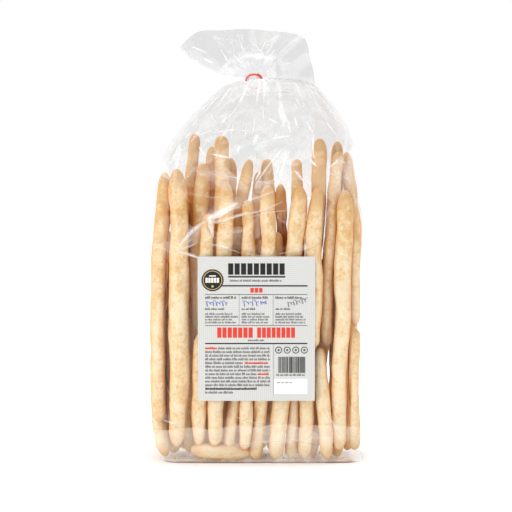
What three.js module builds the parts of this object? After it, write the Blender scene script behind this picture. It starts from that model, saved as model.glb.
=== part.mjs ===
// A clear film bag of hand-stretched grissini, standing on its flat base.
// The sticks fill the body, the shoulders slope up to a gathered neck with a
// red wire tie round it, and the open end of the bag fans out behind the tie.
// A paper label lies on the front.
//
// Millimetres, +Z up. The origin is the middle of the base, and the label
// faces -Y. The bag and what is in it are one solid.

import * as THREE from 'three';

// ---------------------------------------------------------------- sizes

const BASE_HALF_DEPTH = 26;
const BODY_HALF_DEPTH = 30;
const BODY_CORNER_RADIUS = 20;

const STICK_RIDGES = 28; // sticks that press on the film, round the bag
const RIDGE_DEPTH = 1.7; // how far the film dips between two of them
const RIDGE_START = [3, 22]; // heights between which the ridges fade in
const RIDGE_END = [205, 235]; // and out again
const RIDGE_SWAY = 0.35; // how far the sticks lean, as a share of a turn of the ridges

const NECK_CENTRE = new THREE.Vector3(-2.6, -2, 295);
const NECK_RADIUS = 5.3;
const NECK_LENGTH = 9;
const NECK_TILT = THREE.MathUtils.degToRad(62); // the neck leans back this far from upright

const SHOULDER_PLEATS = 14;
const SHOULDER_PLEAT_DEPTH = 2.4;
const SHOULDER_PLEAT_START = [238, 275]; // heights between which the pleats deepen

const TAIL_LEFT_ANGLE = THREE.MathUtils.degToRad(160); // the fan's two edges, seen from the front
const TAIL_RIGHT_ANGLE = THREE.MathUtils.degToRad(-8);
const TAIL_HALF_THICKNESS = 5;
const TAIL_PLEATS = 7; // on each side of the fan
const TAIL_PLEAT_DEPTH = 3;
const TAIL_BACK = 12; // how far behind the neck the fan stands
const TAIL_RIGHT_BACK = 5; // and how much further at its right edge
const TAIL_RISE = 2.5; // the fan's centre stands this far above the neck's
const TAIL_SPREAD = 0.35; // the neck has become the fan by this share of its length

const POINTS_ROUND = 84; // points in each ring of the loft
const BODY_RINGS = 34;
const NECK_RINGS = 3;
const TAIL_RINGS = 9;

const LABEL_WIDTH = 90;
const LABEL_HEIGHT = 112;
const LABEL_THICKNESS = 0.4;
const LABEL_CENTRE_X = -0.8;
const LABEL_BOTTOM = 50;
const GAP = 0.3; // between solids that touch

const TIE_WIRE_RADIUS = 0.8;
const TIE_PITCH = 1.9;
const TIE_START = THREE.MathUtils.degToRad(12); // where its two ends leave the ring
const TIE_END_LENGTH = 5;
const TIE_CLEARANCE = 0.5; // between the wire and the gathered film
const TIE_POINTS = 24;
const TIE_STEPS = 72;

// Levels of the bag from the base to the neck. left and right are the ends of
// the level, [x, z], and middle is its y. halfDepth and corner shape it, and
// lean tips it back, in degrees.
const BODY = { halfDepth: BODY_HALF_DEPTH, corner: BODY_CORNER_RADIUS, middle: 0, lean: 0 };
const LEVELS = [
  { ...BODY, left: [-77, 0], right: [83.5, 0], halfDepth: BASE_HALF_DEPTH, corner: 16 },
  { ...BODY, left: [-81.5, 5], right: [81.5, 5], halfDepth: 28.6 },
  { ...BODY, left: [-84, 22], right: [82, 22] },
  { ...BODY, left: [-84.4, 85], right: [81.8, 85] },
  { ...BODY, left: [-82.8, 155], right: [83, 155] },
  { ...BODY, left: [-78.6, 200], right: [78.6, 200], halfDepth: 28 },
  { ...BODY, left: [-74, 235], right: [74.6, 235], halfDepth: 24, corner: 19 },
  { left: [-61, 257], right: [70.8, 257], halfDepth: 18.5, corner: 15, middle: -1, lean: 4 },
  { left: [-43, 277], right: [54, 278.5], halfDepth: 13.5, corner: 11, middle: -4, lean: 10 },
  { left: [-28, 287.5], right: [38, 291.5], halfDepth: 10.5, corner: 9, middle: -8, lean: 25 },
  { left: [-14, 290], right: [12, 293], halfDepth: 7, corner: 6.5, middle: -11, lean: 50 },
];

// The rim of the fan, as [angle, reach] round the neck, from left to right.
const TAIL_RIM = [
  [160, 60], [141, 57], [124, 43], [99, 38], [72, 38], [52, 44], [38, 49.5], [18, 46], [-8, 48],
];

// ---------------------------------------------------------------- helpers

const lerp = THREE.MathUtils.lerp;
const smoothstep = THREE.MathUtils.smoothstep;

// A smooth curve through the values of one column, read at t from 0 to 1.
function smoothColumn(values) {
  const curve = new THREE.SplineCurve(values.map((value, i) => new THREE.Vector2(i, value)));
  return (t) => curve.getPoint(t).y;
}

// A rounded rectangle walked by its length: share runs from 0 at the left end
// through the front (-y), the right end at 0.5 and the back.
function roundedRectangle(halfWidth, halfDepth, corner, share) {
  const radius = Math.min(corner, halfDepth, halfWidth);
  const side = halfDepth - radius;
  const front = 2 * (halfWidth - radius);
  const arc = (Math.PI / 2) * radius;
  const mirrored = share > 0.5;
  let walk = (mirrored ? 1 - share : share) * 2 * (side * 2 + arc * 2 + front);
  const sign = mirrored ? 1 : -1;
  if (walk <= side) return { x: -halfWidth, y: sign * walk };
  walk -= side;
  if (walk <= arc) {
    const turn = walk / radius;
    return { x: -halfWidth + radius * (1 - Math.cos(turn)), y: sign * (side + radius * Math.sin(turn)) };
  }
  walk -= arc;
  if (walk <= front) return { x: -halfWidth + radius + walk, y: sign * halfDepth };
  walk -= front;
  if (walk <= arc) {
    const turn = walk / radius;
    return { x: halfWidth - radius * (1 - Math.sin(turn)), y: sign * (side + radius * Math.cos(turn)) };
  }
  return { x: halfWidth, y: sign * (side - (walk - arc)) };
}

// How deep the film lies between two sticks, 0 on a stick and 1 between them.
function valley(share, height) {
  const sway = RIDGE_SWAY * Math.sin(height / 47 + 9 * share);
  return 0.5 - 0.5 * Math.cos(2 * Math.PI * STICK_RIDGES * share + sway);
}

// ---------------------------------------------------------------- the bag

const columns = {
  leftX: smoothColumn(LEVELS.map((level) => level.left[0])),
  leftZ: smoothColumn(LEVELS.map((level) => level.left[1])),
  rightX: smoothColumn(LEVELS.map((level) => level.right[0])),
  rightZ: smoothColumn(LEVELS.map((level) => level.right[1])),
  halfDepth: smoothColumn(LEVELS.map((level) => level.halfDepth)),
  corner: smoothColumn(LEVELS.map((level) => level.corner)),
  middle: smoothColumn(LEVELS.map((level) => level.middle)),
  lean: smoothColumn(LEVELS.map((level) => level.lean)),
};

// One point of the body or the shoulders. t runs from 0 at the base to 1 below the neck.
function bodyPoint(t, share) {
  const halfWidth = (columns.rightX(t) - columns.leftX(t)) / 2;
  const middleX = (columns.rightX(t) + columns.leftX(t)) / 2;
  const halfDepth = columns.halfDepth(t);
  const lean = THREE.MathUtils.degToRad(columns.lean(t));
  const height = (columns.leftZ(t) + columns.rightZ(t)) / 2;

  const ridgeFade = smoothstep(height, ...RIDGE_START) * (1 - smoothstep(height, ...RIDGE_END));
  const pleatFade = smoothstep(height, ...SHOULDER_PLEAT_START);
  const pleat = 0.5 - 0.5 * Math.cos(2 * Math.PI * SHOULDER_PLEATS * share);
  const inward = RIDGE_DEPTH * ridgeFade * valley(share, height) + SHOULDER_PLEAT_DEPTH * pleatFade * pleat;

  const flat = roundedRectangle(halfWidth - inward, halfDepth - inward, columns.corner(t), share);
  const across = (flat.x + halfWidth) / (2 * halfWidth);
  return new THREE.Vector3(
    middleX + flat.x,
    flat.y * Math.cos(lean) + columns.middle(t),
    lerp(columns.leftZ(t), columns.rightZ(t), across) - flat.y * Math.sin(lean),
  );
}

// One point of the neck. along runs from 0 to 1 on the neck's axis.
const neckAxis = new THREE.Vector3(0, Math.sin(NECK_TILT), Math.cos(NECK_TILT));
const neckFront = new THREE.Vector3(0, -Math.cos(NECK_TILT), Math.sin(NECK_TILT));

function neckPoint(along, share) {
  const turn = 2 * Math.PI * share;
  return NECK_CENTRE.clone()
    .addScaledVector(neckAxis, (along - 0.5) * NECK_LENGTH)
    .add(new THREE.Vector3(-NECK_RADIUS * Math.cos(turn), 0, 0))
    .addScaledVector(neckFront, NECK_RADIUS * Math.sin(turn));
}

// One point of the fan. out runs from 0 at the neck to 1 at the rim.
const rimReach = (() => {
  const curve = new THREE.SplineCurve(TAIL_RIM.map(([angle, reach]) => new THREE.Vector2(-angle, reach)));
  return (share) => curve.getPoint(share).y;
})();

function tailPoint(out, share) {
  const onFront = share <= 0.5;
  const across = onFront ? share * 2 : 2 - share * 2;
  const angle = lerp(TAIL_LEFT_ANGLE, TAIL_RIGHT_ANGLE, across);
  const reach = lerp(NECK_RADIUS, rimReach(across), out);
  const edge = Math.sin(Math.PI * across);
  const pleat = Math.sin(2 * Math.PI * TAIL_PLEATS * across + (onFront ? 0 : 0.6));
  const thickness = TAIL_HALF_THICKNESS * (0.25 + 0.75 * Math.sqrt(edge));
  const depth = TAIL_BACK * smoothstep(out, 0, 0.5) + TAIL_RIGHT_BACK * across * out
    + (onFront ? -1 : 1) * thickness + TAIL_PLEAT_DEPTH * out * pleat * edge;
  const fan = new THREE.Vector3(
    NECK_CENTRE.x + reach * Math.cos(angle),
    NECK_CENTRE.y + depth,
    NECK_CENTRE.z + TAIL_RISE + reach * Math.sin(angle),
  );
  const gathered = neckPoint(1 + out * 2, share);
  return gathered.lerp(fan, smoothstep(out, 0, TAIL_SPREAD));
}

function makeBag() {
  const rings = [];
  const addRing = (pointAt) => {
    rings.push(Array.from({ length: POINTS_ROUND }, (_, i) => pointAt(i / POINTS_ROUND)));
  };
  for (let i = 0; i <= BODY_RINGS; i += 1) addRing((share) => bodyPoint(i / BODY_RINGS, share));
  for (let i = 0; i < NECK_RINGS; i += 1) addRing((share) => neckPoint(i / (NECK_RINGS - 1), share));
  for (let i = 1; i <= TAIL_RINGS; i += 1) addRing((share) => tailPoint(i / TAIL_RINGS, share));

  const positions = rings.flat().flatMap((point) => point.toArray());
  const index = [];
  for (let ring = 0; ring < rings.length - 1; ring += 1) {
    for (let i = 0; i < POINTS_ROUND; i += 1) {
      const a = ring * POINTS_ROUND + i;
      const b = ring * POINTS_ROUND + ((i + 1) % POINTS_ROUND);
      index.push(a, b, b + POINTS_ROUND, a, b + POINTS_ROUND, a + POINTS_ROUND);
    }
  }
  addCap(index, 0, true);
  addCap(index, (rings.length - 1) * POINTS_ROUND, false);
  const geometry = new THREE.BufferGeometry();
  geometry.setAttribute('position', new THREE.Float32BufferAttribute(positions, 3));
  geometry.setIndex(index);
  geometry.computeVertexNormals();
  return geometry;
}

// Closes a ring with a strip between its front and its back.
function addCap(index, first, facesDown) {
  const addTriangle = (a, b, c) => (facesDown ? index.push(a, b, c) : index.push(a, c, b));
  for (let i = 0; i < POINTS_ROUND / 2; i += 1) {
    const front = first + i;
    const nextFront = front + 1;
    const back = first + ((POINTS_ROUND - i) % POINTS_ROUND);
    const nextBack = first + POINTS_ROUND - i - 1;
    if (back !== front) addTriangle(front, back, nextBack);
    if (nextBack !== nextFront) addTriangle(front, nextBack, nextFront);
  }
}

// ---------------------------------------------------------------- the label

function makeLabel() {
  const sheet = new THREE.Shape();
  sheet.moveTo(-LABEL_WIDTH / 2, 0);
  sheet.lineTo(LABEL_WIDTH / 2, 0);
  sheet.lineTo(LABEL_WIDTH / 2, LABEL_HEIGHT);
  sheet.lineTo(-LABEL_WIDTH / 2, LABEL_HEIGHT);
  sheet.closePath();
  return new THREE.ExtrudeGeometry(sheet, { depth: LABEL_THICKNESS, bevelEnabled: false });
}

// ---------------------------------------------------------------- the tie

// A wire that goes once round the neck, with both ends left standing out.
function makeTie() {
  const radius = NECK_RADIUS + TIE_CLEARANCE + TIE_WIRE_RADIUS;
  const onRing = (turn, reach) => NECK_CENTRE.clone()
    .addScaledVector(neckAxis, (turn / (2 * Math.PI) - 0.5) * TIE_PITCH)
    .add(new THREE.Vector3(reach * Math.cos(TIE_START + turn), 0, 0))
    .addScaledVector(neckFront, reach * Math.sin(TIE_START + turn));
  const points = [];
  points.push(onRing(0, radius + TIE_END_LENGTH));
  for (let i = 0; i <= TIE_POINTS; i += 1) points.push(onRing((i / TIE_POINTS) * 2 * Math.PI, radius));
  points.push(onRing(2 * Math.PI, radius + TIE_END_LENGTH));
  const section = new THREE.Shape();
  section.absarc(0, 0, TIE_WIRE_RADIUS, 0, 2 * Math.PI);
  return new THREE.ExtrudeGeometry(section, {
    steps: TIE_STEPS,
    curveSegments: 4,
    bevelEnabled: false,
    extrudePath: new THREE.CatmullRomCurve3(points, false, 'centripetal'),
  });
}

// ---------------------------------------------------------------- the object

function addPart(group, name, geometry, material) {
  const mesh = new THREE.Mesh(geometry, material);
  mesh.name = name;
  group.add(mesh);
  return mesh;
}

const pack = new THREE.Group();

addPart(pack, 'bag', makeBag(),
  new THREE.MeshStandardMaterial({ color: 0xe6cc9f, roughness: 0.45, metalness: 0 }));

const label = addPart(pack, 'label', makeLabel(),
  new THREE.MeshStandardMaterial({ color: 0xe8e7e4, roughness: 0.6, metalness: 0 }));
label.rotation.x = Math.PI / 2;
label.position.set(LABEL_CENTRE_X, -BODY_HALF_DEPTH - GAP, LABEL_BOTTOM);

addPart(pack, 'tie', makeTie(),
  new THREE.MeshStandardMaterial({ color: 0xcf4b45, roughness: 0.4, metalness: 0 }));

export default pack;
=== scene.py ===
"""A clear film bag of hand-stretched grissini, standing on its base.

The sticks, the film, the paper label and the wire tie are made round the
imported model, in metres, +Z up, with the label facing -Y. Lengths below are
in millimetres unless a comment says metres, and MM turns them into metres.
"""

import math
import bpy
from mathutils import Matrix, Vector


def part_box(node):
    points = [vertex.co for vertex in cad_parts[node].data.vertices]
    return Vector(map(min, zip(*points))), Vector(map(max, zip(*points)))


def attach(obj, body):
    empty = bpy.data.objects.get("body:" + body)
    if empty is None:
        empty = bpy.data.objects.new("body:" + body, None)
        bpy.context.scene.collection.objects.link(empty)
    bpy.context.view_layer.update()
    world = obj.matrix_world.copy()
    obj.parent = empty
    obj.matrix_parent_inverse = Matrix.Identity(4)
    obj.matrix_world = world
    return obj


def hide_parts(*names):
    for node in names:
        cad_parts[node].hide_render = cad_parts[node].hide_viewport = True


bl_info = {
    "name": "Bag of Grissini",
    "version": (1, 0, 0),
    "blender": (4, 5, 0),
    "location": "View3D > Sidebar > Grissini",
    "description": "Builds a tied film bag of hand-stretched breadsticks with its label",
    "category": "Object",
}

import bpy
import numpy as np
from bpy.props import FloatProperty, FloatVectorProperty, IntProperty, PointerProperty
from mathutils import Vector
from mathutils.bvhtree import BVHTree
from mathutils.geometry import delaunay_2d_cdt

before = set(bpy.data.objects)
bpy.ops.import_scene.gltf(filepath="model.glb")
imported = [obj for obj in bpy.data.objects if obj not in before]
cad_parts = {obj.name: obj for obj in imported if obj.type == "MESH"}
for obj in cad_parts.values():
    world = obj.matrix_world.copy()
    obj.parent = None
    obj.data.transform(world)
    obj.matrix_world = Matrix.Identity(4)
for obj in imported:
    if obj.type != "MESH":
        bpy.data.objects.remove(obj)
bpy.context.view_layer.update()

MM = 0.001
TINY = 1e-6
LABEL_LOW, LABEL_HIGH = (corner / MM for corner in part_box("label"))  # in mm

# ------------------------------ the bag's form, in mm

BODY = {"half_depth": 30.0, "corner": 20.0, "middle": 0.0, "lean": 0.0}
LEVELS = [  # from the base to the neck: the ends of each level as (x, z), and its shape
    {**BODY, "left": (-77, 0), "right": (83.5, 0), "half_depth": 28.5, "corner": 18},
    {**BODY, "left": (-81.5, 5), "right": (81.5, 5), "half_depth": 28.6},
    {**BODY, "left": (-84, 22), "right": (82, 22)},
    {**BODY, "left": (-84.4, 85), "right": (81.8, 85)},
    {**BODY, "left": (-82.8, 155), "right": (83, 155)},
    {**BODY, "left": (-78.6, 200), "right": (78.6, 200), "half_depth": 28},
    {**BODY, "left": (-76, 235), "right": (74.6, 235), "half_depth": 24, "corner": 19},
    {"left": (-61.5, 257), "right": (71.5, 257), "half_depth": 18.5, "corner": 15, "middle": -1, "lean": 4},
    {"left": (-43, 277), "right": (57, 279), "half_depth": 13.5, "corner": 11, "middle": -4, "lean": 10},
    {"left": (-28, 288.5), "right": (42, 292), "half_depth": 10.5, "corner": 9, "middle": -8, "lean": 25},
    {"left": (-14, 290), "right": (12, 293), "half_depth": 7, "corner": 6.5, "middle": -11, "lean": 50},
]
NECK_CENTRE = np.array([-2.6, -2.0, 295.0])
NECK_RADIUS = 5.1
NECK_LENGTH = 9.0
NECK_TILT = math.radians(62)
NECK_AXIS = np.array([0.0, math.sin(NECK_TILT), math.cos(NECK_TILT)])
NECK_FRONT = np.array([0.0, -math.cos(NECK_TILT), math.sin(NECK_TILT)])

TAIL_ANGLES = np.radians([158, 141, 124, 99, 72, 52, 38, 18, -8])  # of points on the rim, left to right
TAIL_REACH = [62, 56, 44, 38, 38, 44, 49.5, 46, 48]  # from the neck to each of them
TAIL_HALF_THICKNESS = 5.0
TAIL_PLEATS = 7
TAIL_BACK = 12.0  # how far the fan stands behind the neck
TAIL_RIGHT_BACK = 5.0  # and its right end behind the left
TAIL_RISE = 2.5
TAIL_SPREAD = 0.35  # share of the fan over which the gathered film opens
TAIL_SAG = 8.0  # how far the fan's left edge hangs below a straight line

RING_POINTS = 320
RING_SHARES = np.arange(RING_POINTS) / RING_POINTS  # of the way round, from the left end through the front
BASE_ROWS = 10
BODY_ROWS = 226
NECK_ROWS = 6
TAIL_ROWS = 46
FIRST_NECK_ROW = BASE_ROWS + BODY_ROWS + 1
FIRST_TAIL_ROW = FIRST_NECK_ROW + NECK_ROWS
FILM_LENGTH_ROUND = 436.0  # of the crumpled sheet that its facets come from, a little over its own
FILM_LOWEST = 0.15  # above the table

LOOSE = (205, 250)  # the film goes from drawn tight to loose between these heights
NEAR_NECK = (262, 290)  # and it is gathered towards the neck between these
DRAWN_RELIEF = 0.32  # share of the crumpling where the film is drawn tight
NECK_CALM = 0.75  # share of the crumpling that the gathered neck takes away
TAIL_RELIEF = 0.4
FINE_SIZE = 0.45  # of the fine facets to the coarse ones
FINE_RELIEF = 0.4
WIDE_PLEATS = 15
NARROW_PLEATS = 37
SHOULDER_PLEATS = (225, 288)  # heights between which the pleats deepen
DRAWN_IN = 4.5  # how far the film sinks between the sticks, at most
DRAWN_TO = (228, 262)  # heights between which that fades out
DRAWN_STEPS = 36  # of evening it out
LABEL_DRAWN = 0.3  # share of the sinking behind the label
LABEL_MARGIN = 6.0
FARTHEST_IN = 9.0  # from the smooth film
FARTHEST_OUT = 2.6
FLAP_HEIGHT = 25.5  # of the film that the folded base brings up, without the waves of its edge
FLAP_ROWS = 12
FLAP_FILM_ROWS = 60  # rows of the film that it lies on
FLAP_MIDDLE_ROW = BASE_ROWS + 14
FLAP_ENDS = (0.03, 0.47)  # shares of the way round
FLAP_LIFT = 0.3
HEM_HEIGHT = 214  # of the front's doubled film
HEM_SIDES = (8, 24)  # how far in front of the bag's middle it begins and is full
FILM_INDEX = 1.5
FOLD_SHADE_TINT = (0.66, 0.5, 0.38)  # painted shade: the darker tint that a sharp fold lets through
DRAWN_CLEARNESS = (0.995, 0.995, 0.995)  # of the film drawn tight over the sticks
BASE_SHADE_TINT = (0.44, 0.33, 0.26)  # painted shade of the film beneath the sticks, for the shadow along the base
DRAWN_HAZE = (0.96, 0.9, 0.8)
LOOSE_HAZE = (0.8, 0.8, 0.79)

# ------------------------------ the sticks, in mm

FRONT, MIDDLE, REAR, BACK = -21, -7, 8, 20  # y of the four rows
# Each stick: y, top x, top z, foot x, foot z, sideways bow, diameter, bake from 0 pale to 1 brown.
STICKS = [
    (FRONT, -73.5, 225, -79, 30, -1.8, 11.5, 0.45),
    (-9, -76, 186, -73.5, 2, -4.5, 12.4, 0.45),
    (FRONT, -62, 228, -63, 12, 2.3, 15.4, 0.4),
    (-3, -58, 203, -67, 2, -2.6, 14.5, 0.5),
    (REAR, -49, 254, -54, 2, -3.7, 10.2, 0.6),
    (MIDDLE, -42, 232, -46, 94, -2.1, 12.4, 0.3),
    (FRONT, -37, 194, -35, 108, -3.4, 10.8, 0.2),
    (FRONT, -44, 102, -44, 12, -1.1, 12.3, 0.35),
    (REAR, -35, 244, -33, 2, -1.8, 10.2, 0.65),
    (MIDDLE, -27, 253, -40, 2, 1.7, 11.6, 0.35),
    (REAR, -21, 235, -23, 3, 0.1, 8.6, 0.9),
    (FRONT, -24, 219, -34, 13, 1.0, 13.1, 0.25),
    (MIDDLE, -5, 235, -26, 3, -8.4, 9.3, 0.6),
    (FRONT, -7, 204, -10, 10, 1.1, 10.8, 0.3),
    (REAR, 0, 224, -1, 2, -0.1, 8.6, 0.7),
    (REAR, 8, 234, 12, 2, -1.2, 10.2, 0.55),
    (FRONT, 7, 216, -4, 2, 6.2, 13.1, 0.3),
    (FRONT, 15, 179, 15, 72, -0.8, 9.2, 0.35),
    # This rear stick's high bake stands partly for painted shade in the gap behind the front sticks.
    (REAR, 17.5, 215, 34, 2, -1.3, 9.4, 0.95),
    (MIDDLE, 4, 172, 0, 2, 1.7, 10.9, 0.5),
    (FRONT, 33, 215, 15, 2, -0.4, 13.8, 0.25),
    (MIDDLE, 31, 235, 26, 2, 2.3, 10.1, 0.2),
    (MIDDLE, 49, 251, 34, 2, 1.1, 12.4, 0.5),
    (FRONT, 46, 214, 45, 91, -2.4, 12.3, 0.25),
    (MIDDLE, 56, 164, 42, 2, -0.1, 10.9, 0.5),
    (-14, 64, 241, 54, 89, -3.3, 10.1, 0.3),
    (FRONT, 47, 89, 56, 2, -0.4, 10.8, 0.3),
    (REAR, 62, 248, 64, 2, -1.2, 10.2, 0.6),
    (MIDDLE, 64, 157, 63, 2, 1.6, 10.9, 0.45),
    (FRONT, 67.5, 212, 61, 9, 1.0, 12.6, 0.3),
    (REAR, 72, 240, 72, 2, 2.8, 9.4, 0.7),
    (FRONT, -8, 92, -24, 7, -1.0, 11.5, 0.25),
    (FRONT, 42, 122, 36.5, 3, 0.0, 12.0, 0.3),
    (FRONT, 76, 205, 76, 105, -0.5, 10.0, 0.4),
    (FRONT, 76, 104, 77, 8, -1.3, 9.2, 0.45),
    (BACK, -70.5, 177, -70.5, 2, -1.2, 11.1, 0.5),
    (BACK, -58, 197, -58, 2, 0.8, 11.9, 0.4),
    (BACK, -45, 204, -50, 2, 1.3, 11.1, 0.35),
    (BACK, -11, 189, -14, 2, -1.5, 11.9, 0.4),
    (BACK, 8, 201, 5, 2, -2.7, 11.9, 0.3),
    (BACK, 45, 193, 46, 2, -2.5, 11.9, 0.4),
    (BACK, 66, 189, 61, 2, -0.9, 11.1, 0.45),
]
FALLEN_STICK = [(-52, -18, 9.4), (-38, -19, 8.0), (-22, -18, 7.0), (-3, -15, 6.6)]  # lies on the base
FALLEN_DIAMETER = 12.4
FALLEN_BAKE = 0.35
FALLEN_X = -28.0  # the middle of the fallen stick
LEVEL_STEP = 5.0  # the sticks are laid out on levels this far apart
STICK_GAP = 0.3
STICK_WANDER = 0.7  # how far a stick strays from its even bow
DEPTH_WANDER = 0.8
FOOT_FORWARD = 10.0  # how far the feet beside the fallen stick slid to the front
FOOT_HEIGHT = 45.0  # and up to where that shows
SETTLE_STEPS = 160  # of pushing the sticks apart
PUSH_ASIDE = 0.25  # share of an overlap that one step clears sideways
PUSH_BACK = 0.45  # and in depth
HOMING = 0.12  # share of the way back to its own line that a stick takes in one step
STRAIGHTENING = 0.45  # share of its bends that a stick loses in one step
FILM_CLEARANCE = 0.35
STATION_STEP = 3.0  # between two points along a stick
CAP_STATIONS = 8
SLIM_END = 0.88  # how thick a stick is close to its ends
SLIM_LENGTH = 34.0
UPPER_BROWNING = 0.5  # how much browner and darker the sticks are coloured high up
UPPER_BROWNING_FROM, UPPER_BROWNING_TO = 120, 215
# The rays below and the hollow after them set the painted shade in the gaps between sticks.
CREVICE_REACH = 26.0  # of the rays that look for other sticks
CREVICE_START = 0.3
CREVICE_TURNS = np.radians((10, 70, 130, 190, 250, 310))
BEHIND_SHADE = 0.2  # how much more painted shade the inner sides of the rear sticks get
SHADED_HOLLOW = (12, 174)  # x and z of the deepest gap between the rear sticks, where that painted shade is strongest
SHADED_HOLLOW_SIZE = (24, 26)
SHADED_HOLLOW_STRENGTH = 5.0

# ------------------------------ the label, in mm from its top left

LABEL_WIDTH = round(LABEL_HIGH.x - LABEL_LOW.x)
LABEL_HEIGHT = round(LABEL_HIGH.z - LABEL_LOW.z)
LABEL_LIFT = 0.45  # of the paper off the film
PAPER_THICKNESS = 0.12
PAPER_STEP = 2.5  # between the points of the sheet
PRINT_LIFT = 0.06
BAR_STEP = 8.0  # between the points of a printed bar
INK_LAYERS = {"gold": 1, "cream": 1, "white": -0.6}  # above the other inks, in lifts
DISC_SIDES = 40
TEXT_ENDS = (5.6, 84.2)
STROKE_GAP = 0.24
WORD_GAP = 0.6
LINES_TOP = 69.8  # of the 13 lines of small print
LINE_PITCH = 2.87
LINE_HEIGHT = 2.05
HEAVY_LINE = 11
SHORT_LINES = {4: 35.0, 7: 45.0, 11: 46.0, 12: 27.0}  # where those end
GRID_PITCH = 1.56  # of the fine lines printed on the paper

# ------------------------------ the tie, in mm

TIE_GAP = 0.35  # between the wire and the neck
TIE_TURNS = 1.16
TIE_START = math.radians(6)
TIE_RISE = 2.0  # of the winding, along the neck

# ------------------------------ the studio

FLOOR = 1500.0  # half its side, in mm
LIGHTS_AIM = (0.0, 0.0, 0.12)  # this and the softboxes are in metres
SOFTBOXES = [("left", (-1.0, -0.95, 0.4), (0.9, 1.2)), ("right", (1.0, -0.95, 0.4), (0.9, 1.2)),
             ("top", (0.0, 0.1, 1.5), (1.4, 1.0))]
SHADOW_PATCH = (0.08, 0.03, 0.0)  # half the width and depth of the painted shadow beneath the bag, in metres
SHADOW_PATCH_FADE = 0.03  # how far round it the painted shadow fades out, in metres
CAMERA_PITCH = math.radians(6.5)
CAMERA_DISTANCE = 1500 * MM
CAMERA_TARGET = (-1.1 * MM, 0.0, 158.9 * MM)
CAMERA_LENS = 135.0
SENSOR_WIDTH = 36.0


# ============================== settings


def length_setting(name, description, default):
    """A length that a user can change."""
    return FloatProperty(name=name, description=description, default=default, unit="LENGTH")


def share_setting(name, description, default):
    """A share from 0 to 1 that a user can change."""
    return FloatProperty(name=name, description=description, default=default, subtype="FACTOR", min=0, max=1)


def power_setting(name, description, default):
    """The power of a light, which a user can change."""
    return FloatProperty(name=name, description=description, default=default, unit="POWER")


def colour_setting(name, description, *default):
    """A colour that a user can change."""
    return FloatVectorProperty(name=name, description=description, default=default, subtype="COLOR")


class GrissiniStickSettings(bpy.types.PropertyGroup):
    """Sizes and colours of the sticks and the crumbs."""

    sides: IntProperty(name="Sides", description="Faces round a stick", default=24, min=8)
    lump_height: length_setting("Lump height", "How far a stick swells and dips", 0.55 * MM)
    lump_size: length_setting("Lump size", "Distance between two swellings", 17 * MM)
    grain_height: length_setting("Grain height", "Depth of the stretched grain of the dough", 0.16 * MM)
    crumb_density: FloatProperty(
        name="Crumb density", description="Crumbs for each square metre", default=12000.0)
    crumb_size: length_setting("Crumb size", "Radius of the largest crumb", 1.1 * MM)
    seed: IntProperty(name="Seed", description="Start of the random shapes", default=7)
    pale: colour_setting("Pale crust", "Colour of the lightly baked crust", 0.755, 0.64, 0.44)
    golden: colour_setting("Golden crust", "Colour of the well baked crust", 0.76, 0.49, 0.20)
    flour: colour_setting("Flour", "Colour of the flour left on the crust", 0.765, 0.68, 0.515)
    toasted: colour_setting("Toasted crust", "Colour of the crust baked a little longer", 0.60, 0.365, 0.155)
    brown: colour_setting("Brown tip", "Colour of the well baked tips", 0.50, 0.24, 0.07)
    # Painted shade: the crust takes this colour toward a stick's outline, where it is seen at a slant.
    side: colour_setting("Sides", "Colour of the crust seen at a slant", 0.72, 0.36, 0.10)
    # Painted shade: the crust takes these two colours where other sticks shut it in, orange and then nearly
    # black.
    crevice: colour_setting("Between sticks", "Colour of the crust close to another stick", 0.76, 0.34, 0.075)
    deep_shade: colour_setting("Deep between sticks", "Colour of the crust shut in by sticks", 0.28, 0.06, 0.006)


class GrissiniFilmSettings(bpy.types.PropertyGroup):
    """Sizes and clearness of the film."""

    facet_size: length_setting("Facet size", "Width of the flats that the film is crumpled into", 17 * MM)
    facet_height: length_setting("Facet height", "How far the flats rise and fall", 1.6 * MM)
    pleat_depth: length_setting("Pleat depth", "Depth of the pleats at the neck", 2.2 * MM)
    clearness: share_setting("Clearness", "Share of light that one loose layer lets through", 0.92)
    roughness: share_setting("Roughness", "Spread of the film's reflections", 0.12)
    seed: IntProperty(name="Seed", description="Start of the random crumpling and folds", default=11)


class GrissiniLabelSettings(bpy.types.PropertyGroup):
    """Colours of the paper and its print."""

    paper: colour_setting("Paper", "Colour of the paper", 0.65, 0.65, 0.63)
    black: colour_setting("Black ink", "Colour of the main print", 0.012, 0.012, 0.012)
    grey: colour_setting("Fine print", "Colour of the thin black print", 0.06, 0.06, 0.06)
    red: colour_setting("Red ink", "Colour of the second print", 0.66, 0.045, 0.025)
    white: colour_setting("White", "Colour of the bare white box", 0.86, 0.86, 0.86)
    cream: colour_setting("Cream ink", "Colour of the print on the seal", 0.8, 0.77, 0.7)
    gold: colour_setting("Gold ink", "Colour of the seal's ring", 0.55, 0.42, 0.18)
    blue: colour_setting("Pen ink", "Colour of the pen strokes", 0.16, 0.19, 0.50)
    pencil: colour_setting("Pencil", "Colour of the pencil strokes", 0.16, 0.17, 0.20)
    seed: IntProperty(name="Seed", description="Start of the random word lengths", default=5)


class GrissiniTieSettings(bpy.types.PropertyGroup):
    """Size and colours of the tie."""

    wire: length_setting("Wire", "Diameter of the coated wire", 1.6 * MM)
    colour: colour_setting("Coating", "Colour of the coating", 0.62, 0.06, 0.05)
    worn: colour_setting("Worn coating", "Colour of the coating where it is rubbed", 0.8, 0.14, 0.11)


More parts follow.
